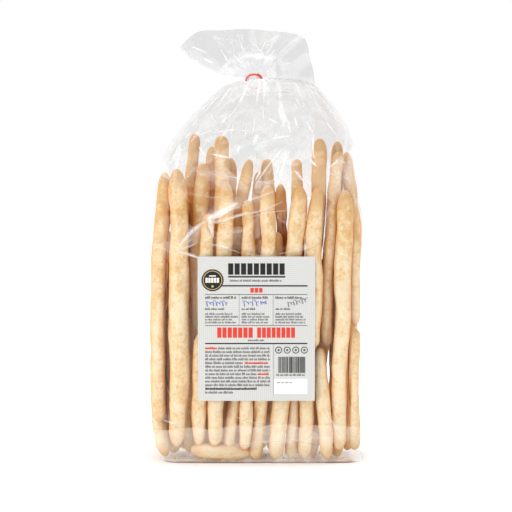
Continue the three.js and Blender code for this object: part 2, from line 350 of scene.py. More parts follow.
class GrissiniStageSettings(bpy.types.PropertyGroup):
    """Light of the studio."""

    left_light: power_setting("Left light", "Power of the left softbox", 8.6)
    right_light: power_setting("Right light", "Power of the right softbox", 2.6)
    top_light: power_setting("Top light", "Power of the overhead softbox", 6.2)
    room: FloatProperty(
        name="Room", description="Brightness of the room in front of the bag", default=0.56)
    mirrored: FloatProperty(
        name="Mirrored room", description="Brightness of that room where the film mirrors it", default=0.12)
    # The floor's own glow, which is dimmed beneath and round the bag as painted shadow.
    table_glow: FloatProperty(
        name="Table glow", description="Light that comes up through the table", default=0.4)
    floor: colour_setting("Floor", "Colour of the floor", 0.90, 0.90, 0.90)


# ============================== helpers


def add_node(tree, kind, inputs=None, **settings):
    """Adds a node. An input is named or numbered, and takes a value or another node's socket."""
    node = tree.nodes.new(kind)
    for name, value in settings.items():
        setattr(node, name, value)
    for key, value in (inputs or {}).items():
        socket = node.inputs[key]
        if isinstance(value, bpy.types.NodeSocket):
            tree.links.new(value, socket)
        else:
            socket.default_value = value
    return node


def maths(tree, operation, a, b=0.0, c=0.0):
    """A Math node's result."""
    return add_node(tree, "ShaderNodeMath", {0: a, 1: b, 2: c}, operation=operation).outputs[0]


def product(tree, *factors):
    """Several numbers multiplied."""
    result = factors[0]
    for factor in factors[1:]:
        result = maths(tree, "MULTIPLY", result, factor)
    return result


def vector_maths(tree, operation, a, b=(0.0, 0.0, 0.0)):
    """A Vector Math node's vector."""
    return add_node(tree, "ShaderNodeVectorMath", {0: a, 1: b}, operation=operation).outputs[0]


def scaled(tree, vector, factor):
    """A vector multiplied by a number."""
    return add_node(tree, "ShaderNodeVectorMath", {0: vector, "Scale": factor}, operation="SCALE").outputs[0]


def map_range(tree, value, low, high, to_low=0.0, to_high=1.0):
    """value taken smoothly from one range to another."""
    keys = {"Value": value, "From Min": low, "From Max": high, "To Min": to_low, "To Max": to_high}
    return add_node(tree, "ShaderNodeMapRange", keys, interpolation_type="SMOOTHSTEP").outputs[0]


def mix_colour(tree, factor, a, b):
    """Colour a turned into b by factor."""
    keys = {0: factor}
    for index, colour in ((6, a), (7, b)):
        keys[index] = colour if isinstance(colour, bpy.types.NodeSocket) else (*colour[:3], 1.0)
    return add_node(tree, "ShaderNodeMix", keys, data_type="RGBA").outputs[2]


def mix_shader(tree, factor, a, b):
    """Shader a turned into b by factor."""
    return add_node(tree, "ShaderNodeMixShader", {0: factor, 1: a, 2: b}).outputs[0]


def clear_shader(tree, colour):
    """Light let through, and coloured on its way."""
    return add_node(tree, "ShaderNodeBsdfTransparent", {"Color": colour}).outputs[0]


def principled(tree, colour, roughness, **inputs):
    """A Principled BSDF. Its further inputs are named with _ for each space."""
    keys = {"Base Color": colour, "Roughness": roughness}
    keys.update({name.replace("_", " "): value for name, value in inputs.items()})
    return add_node(tree, "ShaderNodeBsdfPrincipled", keys).outputs[0]


def bumped(tree, strength, distance, height):
    """The normal over a relief."""
    keys = {"Strength": strength, "Distance": distance, "Height": height}
    return add_node(tree, "ShaderNodeBump", keys).outputs[0]


def noise(tree, vector, scale, detail=2.0, roughness=0.5):
    """A noise texture's value from 0 to 1."""
    keys = {"Vector": vector, "Scale": scale, "Detail": detail, "Roughness": roughness}
    return add_node(tree, "ShaderNodeTexNoise", keys).outputs[0]


def attribute(tree, name, output="Fac"):
    """A named attribute of the mesh, in a material."""
    return add_node(tree, "ShaderNodeAttribute", attribute_name=name).outputs[output]


def object_coordinates(tree):
    """The object coordinates, in a material."""
    return add_node(tree, "ShaderNodeTexCoord").outputs["Object"]


def new_material(name):
    """An empty node material and its tree."""
    material = bpy.data.materials.new(name)
    material.use_nodes = True
    material.node_tree.nodes.clear()
    return material, material.node_tree


def finish_material(tree, shader):
    """Joins the shader to the material's output."""
    add_node(tree, "ShaderNodeOutputMaterial", {"Surface": shader})


def new_group(name, inputs, outputs):
    """A shader node group with its sockets, and its input and output nodes."""
    tree = bpy.data.node_groups.new(name, "ShaderNodeTree")
    for direction, sockets in (("INPUT", inputs), ("OUTPUT", outputs)):
        for socket_name, kind, *default in sockets:
            socket = tree.interface.new_socket(socket_name, in_out=direction, socket_type=kind)
            if default:
                socket.default_value = default[0]
    return tree, tree.nodes.new("NodeGroupInput").outputs, tree.nodes.new("NodeGroupOutput").inputs


def place_group(tree, name, **inputs):
    """Places a shader node group in a material, and gives its outputs."""
    keys = {key.replace("_", " "): value for key, value in inputs.items()}
    return add_node(tree, "ShaderNodeGroup", keys, node_tree=bpy.data.node_groups[name]).outputs


def store_numbers(mesh, values):
    """Stores named numbers on a mesh, one for each point."""
    for key, numbers in values.items():
        mesh.attributes.new(key, "FLOAT", "POINT").data.foreach_set("value", np.asarray(numbers, np.float32))


def show(name, data):
    """An object in the scene, of a mesh, a light or a camera."""
    thing = bpy.data.objects.new(name, data)
    bpy.context.scene.collection.objects.link(thing)
    return thing


def new_piece(name, points, faces, material, values=None, smooth=True):
    """A mesh object from points in mm. values holds named numbers for each point."""
    mesh = bpy.data.meshes.new(name)
    mesh.from_pydata((np.asarray(points, float) * MM).tolist(), [], faces)
    mesh.polygons.foreach_set("use_smooth", [smooth] * len(mesh.polygons))
    store_numbers(mesh, values or {})
    mesh.materials.append(material)
    mesh.update()
    return show(name, mesh)


def settle(piece, replaced):
    """Puts a finished piece on the bag's body."""
    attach(piece, "root")
    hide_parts(replaced)


def run_nodes(tree, source, name, inputs):
    """Runs a Geometry Nodes tree on source, and gives the plain mesh object that it makes."""
    modifier = source.modifiers.new("nodes", "NODES")
    modifier.node_group = tree
    for item in tree.interface.items_tree:
        if item.item_type == "SOCKET" and item.in_out == "INPUT" and item.name in inputs:
            modifier[item.identifier] = inputs[item.name]
    evaluated = source.evaluated_get(bpy.context.evaluated_depsgraph_get())
    mesh = bpy.data.meshes.new_from_object(evaluated)
    mesh.name = name
    bpy.data.objects.remove(source)
    return show(name, mesh)


def new_node_tree(name, inputs):
    """A Geometry Nodes tree with named inputs, and its input and output sockets."""
    tree = bpy.data.node_groups.new(name, "GeometryNodeTree")
    tree.interface.new_socket("Geometry", in_out="INPUT", socket_type="NodeSocketGeometry")
    for socket_name, kind in inputs:
        tree.interface.new_socket(socket_name, in_out="INPUT", socket_type=kind)
    tree.interface.new_socket("Geometry", in_out="OUTPUT", socket_type="NodeSocketGeometry")
    return tree, tree.nodes.new("NodeGroupInput").outputs, tree.nodes.new("NodeGroupOutput").inputs


def named_value(tree, name, data_type="FLOAT"):
    """A named attribute, in a Geometry Nodes tree."""
    node = add_node(tree, "GeometryNodeInputNamedAttribute", {"Name": name}, data_type=data_type)
    return node.outputs["Attribute"]


def stored(tree, geometry, name, value, data_type="FLOAT"):
    """The geometry with a named attribute stored on its points."""
    keys = {"Geometry": geometry, "Name": name, "Value": value}
    return add_node(tree, "GeometryNodeStoreNamedAttribute", keys, data_type=data_type,
                    domain="POINT").outputs["Geometry"]


def smooth(values, t):
    """A smooth curve through values, read at t from 0 to 1."""
    values = np.asarray(values, float)
    place = np.clip(t, 0, 1) * (len(values) - 1)
    i = np.minimum(place.astype(int), len(values) - 2)
    w = place - i
    before = values[np.maximum(i - 1, 0)]
    start = values[i]
    end = values[i + 1]
    after = values[np.minimum(i + 2, len(values) - 1)]
    leave = (end - before) / 2
    arrive = (after - start) / 2
    return ((2 * start - 2 * end + leave + arrive) * w**3
            + (-3 * start + 3 * end - 2 * leave - arrive) * w**2 + leave * w + start)


def smoothstep(low, high, value):
    """0 below low, 1 above high, and smooth between."""
    x = np.clip((value - low) / (high - low), 0, 1)
    return x * x * (3 - 2 * x)


def zigzag(x):
    """A triangle wave from 0 to 1, with a period of 1."""
    return 2 * np.abs(x - np.floor(x + 0.5))


# ============================== shared shader groups


def make_mottle_group():
    """Uneven patches and fine specks, shared by the crust, the crumbs, the paper and the inks."""
    tree, inputs, outputs = new_group(
        "Mottle",
        [("Vector", "NodeSocketVector"), ("Patch Scale", "NodeSocketFloat", 60.0),
         ("Speck Scale", "NodeSocketFloat", 900.0)],
        [("Patches", "NodeSocketFloat"), ("Specks", "NodeSocketFloat")])
    patches = noise(tree, inputs["Vector"], inputs["Patch Scale"], 3.0, 0.55)
    specks = noise(tree, inputs["Vector"], inputs["Speck Scale"], 2.0, 0.6)
    tree.links.new(map_range(tree, patches, 0.36, 0.64), outputs["Patches"])
    tree.links.new(specks, outputs["Specks"])


def make_crumple_group():
    """Flats of crumpled film: which way each one faces, a number for each, and the lines between them."""
    tree, inputs, outputs = new_group(
        "Crumpled Film",
        [("Vector", "NodeSocketVector"), ("Size", "NodeSocketFloat", 20 * MM), ("Turn", "NodeSocketVector"),
         ("Tilt", "NodeSocketFloat", 0.2)],
        [("Normal", "NodeSocketVector"), ("Tone", "NodeSocketFloat"), ("Line", "NodeSocketFloat")])
    middle = (0.5, 0.5, 0.5)
    bend = (6 * MM,) * 3  # how far the borders wander
    bend_scale = 20.0
    upright = (1.0, 1.0, 0.45)  # the flats are longer up and down
    bends = add_node(tree, "ShaderNodeTexNoise", {
        "Vector": inputs["Vector"], "Scale": bend_scale, "Detail": 1.0}).outputs["Color"]
    bends = vector_maths(tree, "MULTIPLY", vector_maths(tree, "SUBTRACT", bends, middle), bend)
    place = vector_maths(tree, "ADD", inputs["Vector"], bends)
    place = add_node(tree, "ShaderNodeVectorRotate", {"Vector": place, "Rotation": inputs["Turn"]},
                     rotation_type="EULER_XYZ").outputs[0]
    place = vector_maths(tree, "MULTIPLY", place, upright)
    flats = {"Vector": place, "Scale": maths(tree, "DIVIDE", 1.0, inputs["Size"])}
    cells = add_node(tree, "ShaderNodeTexVoronoi", flats).outputs["Color"]
    border = add_node(tree, "ShaderNodeTexVoronoi", flats, feature="DISTANCE_TO_EDGE").outputs["Distance"]
    tilt = scaled(tree, vector_maths(tree, "SUBTRACT", cells, middle), inputs["Tilt"])
    normal = add_node(tree, "ShaderNodeNewGeometry").outputs["Normal"]
    normal = vector_maths(tree, "NORMALIZE", vector_maths(tree, "ADD", normal, tilt))
    line_width = maths(tree, "DIVIDE", 0.5 * MM, inputs["Size"])
    off_line = map_range(tree, maths(tree, "DIVIDE", border, line_width), 0.4, 1.2)
    tree.links.new(normal, outputs["Normal"])
    tree.links.new(add_node(tree, "ShaderNodeSeparateXYZ", {0: cells}).outputs[0], outputs["Tone"])
    tree.links.new(maths(tree, "SUBTRACT", 1.0, off_line), outputs["Line"])


# ============================== materials


def make_crust(settings):
    """Baked dough: golden crust under flour, browner at the tips, with painted shade: orange to nearly black
    where sticks touch, redder toward the outline.
    """
    material, tree = new_material("crust")
    grain = attribute(tree, "grain", "Vector")
    bake = attribute(tree, "bake")
    # How shut in by other sticks each point is, for the painted shade in the gaps.
    crevice = attribute(tree, "crevice")
    mottle = place_group(tree, "Mottle", Vector=grain, Patch_Scale=110.0, Speck_Scale=1100.0)
    stretched = vector_maths(tree, "MULTIPLY", grain, (1.0, 1.0, 0.16))
    streaks = noise(tree, stretched, 380.0, 3.0, 0.65)
    spots = map_range(tree, noise(tree, grain, 420.0, 3.0, 0.6), 0.42, 0.66)

    golden = maths(tree, "MULTIPLY_ADD", mottle["Patches"], 0.35, product(tree, bake, 0.75))
    golden = maths(tree, "MULTIPLY_ADD", spots, 0.35, maths(tree, "SUBTRACT", golden, 0.2))
    golden = map_range(tree, golden, 0.0, 1.0)
    flour = map_range(tree, streaks, 0.48, 0.7, 0.0, 0.5)
    flour = product(tree, flour, map_range(tree, golden, 0.2, 0.9, 1.0, 0.2))
    freckles = map_range(tree, mottle["Specks"], 0.58, 0.74, 0.0, 0.4)
    browned = product(tree, attribute(tree, "tip"), map_range(tree, bake, 0.1, 0.9, 0.1, 0.9))
    toasted = maths(tree, "MULTIPLY_ADD", spots, 0.3, bake)
    toasted = maths(tree, "MULTIPLY_ADD", mottle["Patches"], 0.5, toasted)
    # Painted shade: the crust is coloured redder toward the outline, where it is seen at a slant.
    facing = add_node(tree, "ShaderNodeLayerWeight", {"Blend": 0.5}).outputs["Facing"]
    layers = [
        (golden, settings.golden),
        (flour, settings.flour),
        (freckles, settings.golden),
        (browned, settings.brown),
        (map_range(tree, toasted, 0.6, 1.7, 0.0, 0.9), settings.toasted),
        (map_range(tree, facing, 0.12, 0.85, 0.0, 0.85), settings.side),
        # Painted shade in the gaps between sticks, orange and then nearly black.
        (map_range(tree, crevice, 0.2, 0.6, 0.0, 0.7), settings.crevice),
        (map_range(tree, crevice, 0.6, 0.95, 0.0, 0.9), settings.deep_shade),
    ]
    colour = settings.pale
    for share, tint in layers:
        colour = mix_colour(tree, share, colour, tint)

    relief = maths(tree, "MULTIPLY_ADD", streaks, 0.7, mottle["Specks"])
    finish_material(tree, principled(
        tree, colour, map_range(tree, flour, 0.0, 0.5, 0.62, 0.85),
        Normal=bumped(tree, 0.4, 0.25 * MM, relief),
        # Less sheen where the gaps are painted in shade.
        Specular_IOR_Level=map_range(tree, crevice, 0.0, 0.5, 0.2, 0.0), Subsurface_Weight=0.2,
        Subsurface_Radius=(1.0, 0.5, 0.2), Subsurface_Scale=1.0 * MM))
    return material


def passing_light(tree, shader):
    """The film as it looks, but letting light on its way to the sticks through: haze scatters it forward."""
    path = add_node(tree, "ShaderNodeLightPath").outputs
    passing = maths(tree, "MAXIMUM", path["Is Shadow Ray"], path["Is Diffuse Ray"])
    return mix_shader(tree, passing, shader, clear_shader(tree, (0.99, 0.99, 0.99, 1.0)))


def make_film(name, settings, shine=1.0):
    """Clear film: it lets light through, mirrors the room and is a little milky where it is crumpled, with
    painted glints and painted shade lines between its flats.
    """
    material, tree = new_material(name)
    place = object_coordinates(tree)
    loose = attribute(tree, "loose")
    busy = attribute(tree, "busy")
    steadied = map_range(tree, loose, 0.0, 1.0, 0.4, 0.55)
    broad = place_group(tree, "Crumpled Film", Vector=place, Size=27 * MM, Turn=(0.3, 0.9, 0.2),
                        Tilt=product(tree, steadied, 0.2))
    small = place_group(tree, "Crumpled Film", Vector=place, Size=12 * MM, Turn=(-0.4, -0.7, 0.5),
                        Tilt=product(tree, steadied, 0.3))
    normal = vector_maths(tree, "NORMALIZE", vector_maths(tree, "ADD", broad["Normal"], small["Normal"]))
    from_behind = add_node(tree, "ShaderNodeNewGeometry").outputs["Backfacing"]
    index = maths(tree, "MULTIPLY_ADD", from_behind, 1 / FILM_INDEX - FILM_INDEX, FILM_INDEX)
    fresnel = add_node(tree, "ShaderNodeFresnel", {"IOR": index, "Normal": normal}).outputs[0]
    mirror = product(tree, fresnel, map_range(tree, loose, 0.0, 1.0, 0.55 * shine, 1.6 * shine))
    mirror = maths(tree, "MINIMUM", mirror, map_range(tree, loose, 0.0, 1.0, 0.22, 0.34))

    patches = product(tree, map_range(tree, noise(tree, place, 30.0, 1.0), 0.4, 0.6), busy)
    flats = map_range(tree, broad["Tone"], 0.45, 0.95, 0.0, 0.2)
    facets = map_range(tree, small["Tone"], 0.6, 0.98, 0.0, 0.14)
    # Painted highlights: a few small flats are made milky white as glints.
    painted_glint = product(tree, maths(tree, "GREATER_THAN", small["Tone"], 0.965), patches, 0.5, loose)
    # Milky lines along the borders of the flats, partly haze and partly painted highlight.
    lines = product(tree, broad["Line"], maths(tree, "GREATER_THAN", small["Tone"], 0.5),
                    map_range(tree, busy, 0.2, 1.0, 0.01, 0.14))
    haze = maths(tree, "MULTIPLY_ADD", maths(tree, "ADD", flats, facets), patches, attribute(tree, "veil"))
    haze = maths(tree, "MINIMUM", maths(tree, "ADD", haze, maths(tree, "ADD", painted_glint, lines)), 0.85)

    # Painted shade: darker lines along the borders of some flats.
    fold_shade = product(tree, small["Line"], maths(tree, "GREATER_THAN", broad["Tone"], 0.7),
                   map_range(tree, loose, 0.0, 1.0, 0.1 * shine, 0.0))
    clear = mix_colour(tree, loose, DRAWN_CLEARNESS, (settings.clearness,) * 3)
    # Painted shade on the film beneath the sticks.
    clear = mix_colour(tree, attribute(tree, "under"), clear, BASE_SHADE_TINT)
    through = clear_shader(tree, mix_colour(tree, fold_shade, clear, FOLD_SHADE_TINT))
    milky = principled(tree, mix_colour(tree, loose, DRAWN_HAZE, LOOSE_HAZE), 0.45, Specular_IOR_Level=0.3)
    gloss = add_node(tree, "ShaderNodeBsdfAnisotropic", {
        "Color": (1.0, 1.0, 1.0, 1.0), "Roughness": settings.roughness, "Normal": normal}).outputs[0]
    finish_material(tree, passing_light(tree, mix_shader(
        tree, mirror, mix_shader(tree, haze, through, milky), gloss)))
    return material


def make_fold_film(settings):
    """Film pinched into a sharp fold: milky as haze and painted highlight, with a little of what is behind
    showing through and painted shade along one edge.
    """
    material, tree = new_material("fold_film")
    streaks = noise(tree, vector_maths(tree, "MULTIPLY", object_coordinates(tree), (1.0, 1.0, 0.3)), 600.0)
    # Painted highlight: the fold is milky along its crest.
    haze = product(tree, attribute(tree, "veil"), map_range(tree, streaks, 0.3, 0.6, 0.6, 1.0))
    # Painted shade: the fold lets less through along one edge.
    through = clear_shader(tree, mix_colour(tree, attribute(tree, "line"), (0.98, 0.98, 0.98), FOLD_SHADE_TINT))
    milky = principled(tree, (0.97, 0.97, 0.97, 1.0), settings.roughness * 2)
    finish_material(tree, passing_light(tree, mix_shader(tree, haze, through, milky)))
    return material


def make_paper(settings):
    """Uncoated paper with a fine printed grid."""
    material, tree = new_material("label_paper")
    place = object_coordinates(tree)
    mottle = place_group(tree, "Mottle", Vector=place, Patch_Scale=25.0, Speck_Scale=1500.0)
    split = add_node(tree, "ShaderNodeSeparateXYZ", {0: place}).outputs
    lines = []
    for axis in (0, 2):
        phase = maths(tree, "FRACT", maths(tree, "DIVIDE", split[axis], GRID_PITCH * MM))
        off_line = maths(tree, "ABSOLUTE", maths(tree, "SUBTRACT", phase, 0.5))
        lines.append(map_range(tree, off_line, 0.14, 0.26, 1.0, 0.0))
    grid = product(tree, maths(tree, "MAXIMUM", lines[0], lines[1]), 0.6)
    shade = maths(tree, "MULTIPLY_ADD", mottle["Patches"], 0.03, grid)
    colour = mix_colour(tree, shade, settings.paper, tuple(c * 0.72 for c in settings.paper))
    finish_material(tree, principled(
        tree, colour, map_range(tree, mottle["Specks"], 0.2, 0.8, 0.6, 0.75),
        Normal=bumped(tree, 0.12, 0.1 * MM, mottle["Specks"]), Specular_IOR_Level=0.3))
    return material


def make_ink(name, colour):
    """Ink on the paper, a little thin in places."""
    material, tree = new_material(name)
    mottle = place_group(tree, "Mottle", Vector=object_coordinates(tree), Patch_Scale=180.0,
                         Speck_Scale=2200.0)
    worn = map_range(tree, mottle["Specks"], 0.5, 0.8, 0.0, 0.1)
    faded = tuple(0.7 * c + 0.3 * 0.7 for c in colour)
    finish_material(tree, principled(
        tree, mix_colour(tree, worn, colour, faded), map_range(tree, mottle["Patches"], 0.0, 1.0, 0.49, 0.61),
        Specular_IOR_Level=0.3))
    return material


def make_coating(settings):
    """The tie's smooth coloured coating."""
    material, tree = new_material("tie_coating")
    dull = noise(tree, object_coordinates(tree), 700.0)
    colour = mix_colour(tree, map_range(tree, dull, 0.3, 0.7, 0.0, 0.3), settings.colour, settings.worn)
    finish_material(tree, principled(tree, colour, map_range(tree, dull, 0.3, 0.7, 0.28, 0.42)))
    return material


def make_floor_material(settings):
    """Plain matt white table that glows all round the bag, and glows less beneath and close to it as painted
    shadow.
    """
    material, tree = new_material("studio_floor")
    beside = vector_maths(tree, "SUBTRACT", vector_maths(tree, "ABSOLUTE", object_coordinates(tree)),
                          SHADOW_PATCH)
    beside = vector_maths(tree, "MAXIMUM", beside, (0.0, 0.0, 0.0))
    distance = add_node(tree, "ShaderNodeVectorMath", {0: beside}, operation="LENGTH").outputs["Value"]
    # Painted shadow: the glow drops to a fifth beneath the bag and comes back to full round it.
    glow = map_range(tree, distance, 0.0, SHADOW_PATCH_FADE, 0.2 * settings.table_glow, settings.table_glow)
    finish_material(tree, principled(
        tree, (*settings.floor, 1.0), 0.9, Specular_IOR_Level=0.1,
        Emission_Color=(1.0, 1.0, 1.0, 1.0), Emission_Strength=glow))
    return material


# ============================== the sticks


def level_ends(t):
    """The x and z of the levels' left ends, then of their right ends, as smooth curves."""
    return [smooth([level[side][k] for level in LEVELS], t) for side in ("left", "right") for k in (0, 1)]


def level_values(t, *keys):
    """The levels' values of those names, as smooth curves."""
    return [smooth([level[key] for level in LEVELS], t) for key in keys]


def level_shape(height):
    """The bag's middle, half width, half depth and corner radius at a height, for laying out the sticks."""
    t = np.linspace(0, 1, 200)
    left_x, left_z, right_x, right_z = level_ends(t)
    rows = [(left_x + right_x) / 2, (right_x - left_x) / 2, *level_values(t, "half_depth", "corner")]
    return [np.interp(height, (left_z + right_z) / 2, row) for row in rows]


def kept_inside(x, y, radius, outline):
    """x and y moved so that a stick of that radius stays inside the bag's rounded outline."""
    centre, half_width, half_depth, corner = outline
    corner = np.minimum(corner, half_depth)
    from_side = np.abs(x - centre) - (half_width - corner)
    from_front = np.abs(y) - (half_depth - corner)
    outside = np.hypot(np.maximum(from_side, 0), np.maximum(from_front, 0)) + TINY
    allowed = np.maximum(corner - radius - FILM_CLEARANCE, 0.5)
    share = np.minimum(allowed / outside, 1)
    x = np.where(from_side > 0, centre + np.sign(x - centre) * (half_width - corner + from_side * share), x)
    y = np.where(from_front > 0, np.sign(y) * (half_depth - corner + from_front * share), y)
    return x, y


def stick_lines(heights):
    """Where each stick would stand on each level if it met no other: x, y, and whether it reaches there."""
    depth, top_x, top_z, foot_x, foot_z, bow, _width, _bake = np.array(STICKS).T[..., None]
    share = (heights - foot_z) / (top_z - foot_z)
    present = (share > -0.03) & (share < 1.03)
    share = np.clip(share, 0, 1)
    number = np.arange(len(STICKS))[:, None]
    wander = (np.sin(heights / (17 + 3 * np.sin(number)) + number * 2.4)
              + 0.8 * np.sin(heights / 9.5 + number * 1.7) * np.cos(number * 5.1))
    x = foot_x + (top_x - foot_x) * share + 4 * bow * share * (1 - share) + STICK_WANDER * wander
    y = depth + DEPTH_WANDER * np.cos(heights / 31 + depth)
    forward = (foot_z < 8) & (depth < 0) & (np.abs(foot_x - FALLEN_X) > 33)
    return x, y - FOOT_FORWARD * forward * (1 - smoothstep(0, FOOT_HEIGHT, heights)), present


def lay_out_sticks():
    """Paths of the sticks in mm: each leans as its line in the table says, pushed clear of the others."""
    rows = np.array(STICKS)
    radius = rows[:, 6] / 2
    heights = np.arange(0, rows[:, 2].max() + LEVEL_STEP, LEVEL_STEP)
    target, y, present = stick_lines(heights)
    x = target.copy()
    outline = level_shape(heights)
    both = present[:, None] & present[None]
    both &= ~np.eye(len(rows), dtype=bool)[:, :, None]
    reach = (radius[:, None] + radius[None])[:, :, None] + STICK_GAP
    order = np.arange(len(rows))
    ahead = np.sign(order[:, None] - order[None])[:, :, None]
    for _step in range(SETTLE_STEPS):
        apart_x = x[:, None] - x[None]
        apart_y = y[:, None] - y[None]
        distance = np.sqrt(apart_x**2 + apart_y**2) + TINY
        overlap = np.where(both, np.maximum(reach - distance, 0), 0)
        sign = np.where(apart_y == 0, ahead, np.sign(apart_y))
        x += PUSH_ASIDE * (overlap * apart_x / distance).sum(1)
        y += PUSH_BACK * (overlap * sign * np.maximum(np.abs(apart_y) / distance, 0.3)).sum(1)
        x += HOMING * (target - x)
        for path in (x, y):
            inner = (path[:, :-2] + path[:, 2:]) / 2
            path[:, 1:-1] += STRAIGHTENING * (inner - path[:, 1:-1])
        x, y = kept_inside(x, y, radius[:, None], outline)
    paths = []
    for i, (_depth, _top_x, top_z, _foot_x, foot_z, *_rest) in enumerate(STICKS):
        z = np.linspace(foot_z, top_z, 60)
        paths.append(np.stack([np.interp(z, heights, x[i]), np.interp(z, heights, y[i]), z], 1))
    return paths, radius


def stick_stations(path, radius, foot, top):
    """Points along a stick with the girth at each. foot and top are the lengths of its rounded ends."""
    steps = np.linalg.norm(np.diff(path, axis=0), axis=1)
    length = steps.sum()
    near = 1 - np.cos(np.linspace(0, math.pi / 2, CAP_STATIONS))
    count = max(int((length - foot - top) / STATION_STEP), 4)
    places = np.concatenate([foot * near, np.linspace(foot, length - top, count)[1:-1],
                             length - top * near[::-1]])
    along = np.concatenate([[0], np.cumsum(steps)])
    points = np.stack([np.interp(places, along, path[:, k]) for k in range(3)], 1)
    taper = np.ones(len(places))
    for end, cap in ((places, foot), (length - places, top)):
        taper = taper * np.sqrt(np.clip(1 - (1 - np.minimum(end / cap, 1))**2, 0.0004, 1))
    end = np.minimum(places, length - places)
    girth = radius * taper * (SLIM_END + (1 - SLIM_END) * smoothstep(0, SLIM_LENGTH, end))
    return points, places, girth, end


def make_stick_nodes():
    """Sweeps each path into a stick: swollen and dented, with the grain of stretched dough."""
    tree, inputs, outputs = new_node_tree("Hand-rolled Sticks", [
        ("Sides", "NodeSocketInt"), ("Lump Height", "NodeSocketFloat"), ("Lump Size", "NodeSocketFloat"),
        ("Grain Height", "NodeSocketFloat"), ("Seed", "NodeSocketInt"), ("Material", "NodeSocketMaterial")])
    curve = add_node(tree, "GeometryNodeMeshToCurve", {"Mesh": inputs["Geometry"]}).outputs[0]
    circle = add_node(tree, "GeometryNodeCurvePrimitiveCircle",
                      {"Resolution": inputs["Sides"], "Radius": 1.0}).outputs["Curve"]
    position = add_node(tree, "GeometryNodeInputPosition").outputs[0]
    circle = stored(tree, circle, "ring", position, "FLOAT_VECTOR")
    sweep = add_node(tree, "GeometryNodeCurveToMesh",
                     {"Curve": curve, "Profile Curve": circle, "Scale": named_value(tree, "girth"),
                      "Fill Caps": True}).outputs[0]

    split = add_node(tree, "ShaderNodeSeparateXYZ", {0: named_value(tree, "ring", "FLOAT_VECTOR")}).outputs
    girth = named_value(tree, "girth")
    number = maths(tree, "ADD", named_value(tree, "number"), inputs["Seed"])
    grain = add_node(tree, "ShaderNodeCombineXYZ", {
        0: maths(tree, "MULTIPLY_ADD", split[0], girth, product(tree, number, 0.31)),
        1: product(tree, split[1], girth),
        2: named_value(tree, "along")}).outputs[0]
    sweep = stored(tree, sweep, "grain", grain, "FLOAT_VECTOR")

    grain = named_value(tree, "grain", "FLOAT_VECTOR")
    lump_scale = maths(tree, "DIVIDE", 1.0, inputs["Lump Size"])
    lumps = maths(tree, "SUBTRACT", noise(tree, grain, lump_scale, 2.0, 0.5), 0.5)
    swell = product(tree, lumps, product(tree, inputs["Lump Height"], 4.0))
    stretched = vector_maths(tree, "MULTIPLY", grain, (1.0, 1.0, 0.2))
    fibres = maths(tree, "SUBTRACT", noise(tree, stretched, 330.0, 2.0, 0.6), 0.5)
    furrow = product(tree, fibres, product(tree, inputs["Grain Height"], 4.0))
    angle = maths(tree, "ARCTAN2", split[1], split[0])
    turn = maths(tree, "MULTIPLY_ADD", named_value(tree, "along"), named_value(tree, "twist"),
                 product(tree, angle, 2.0))
    strand = product(tree, maths(tree, "SINE", turn), named_value(tree, "strand"))
    groove = maths(tree, "POWER", maths(tree, "COSINE", product(tree, turn, 0.5)), 14.0)
    groove = product(tree, groove, named_value(tree, "crease"))
    height = maths(tree, "ADD", maths(tree, "ADD", swell, furrow), maths(tree, "SUBTRACT", strand, groove))
    fade = map_range(tree, girth, 0.0, 4.5 * MM)
    normal = add_node(tree, "GeometryNodeInputNormal").outputs[0]
    offset = scaled(tree, normal, product(tree, height, fade))
    moved = add_node(tree, "GeometryNodeSetPosition", {"Geometry": sweep, "Offset": offset}).outputs[0]
    moved = add_node(tree, "GeometryNodeSetShadeSmooth", {"Geometry": moved}).outputs[0]
    real = add_node(tree, "GeometryNodeRealizeInstances", {"Geometry": moved}).outputs[0]
    done = add_node(tree, "GeometryNodeSetMaterial", {"Geometry": real, "Material": inputs["Material"]})
    tree.links.new(done.outputs[0], outputs[0])
    return tree


def stick_skeleton(paths, radii, bakes, seed):
    """A mesh of edges that the nodes sweep, with what each point needs to know."""
    rng = np.random.default_rng(seed)
    points, edges = [], []
    values = {key: [] for key in ("girth", "along", "number", "bake", "tip", "twist", "strand", "crease")}
    for number, (path, radius, bake) in enumerate(zip(paths, radii, bakes)):
        station, places, girth, end = stick_stations(
            path, radius, radius * rng.uniform(1.0, 2.4), radius * rng.uniform(1.0, 2.2))
        first = len(points)
        points.extend(station)
        edges.extend((first + k, first + k + 1) for k in range(len(station) - 1))
        swell = 1 + 0.07 * np.sin(places / rng.uniform(14, 26) + rng.uniform(0, 6))
        values["girth"].extend(girth * swell * MM)
        values["along"].extend(places * MM)
        values["number"].extend([number * 1.37] * len(station))
        # The sticks are coloured browner and darker high up.
        upper = smoothstep(UPPER_BROWNING_FROM, UPPER_BROWNING_TO, station[:, 2])
        values["bake"].extend(bake + UPPER_BROWNING * upper)
        values["tip"].extend(1 - smoothstep(0, rng.uniform(10, 22), end))
        values["twist"].extend([rng.uniform(60, 140) * rng.choice([-1, 1])] * len(station))
        values["strand"].extend([rng.choice([0.1, 0.25, 0.5]) * MM] * len(station))
        values["crease"].extend([rng.choice([0.0, 0.0, 0.5, 0.9]) * MM] * len(station))
    mesh = bpy.data.meshes.new("skeleton")
    mesh.from_pydata((np.array(points) * MM).tolist(), edges, [])
    store_numbers(mesh, values)
    return show("skeleton", mesh)


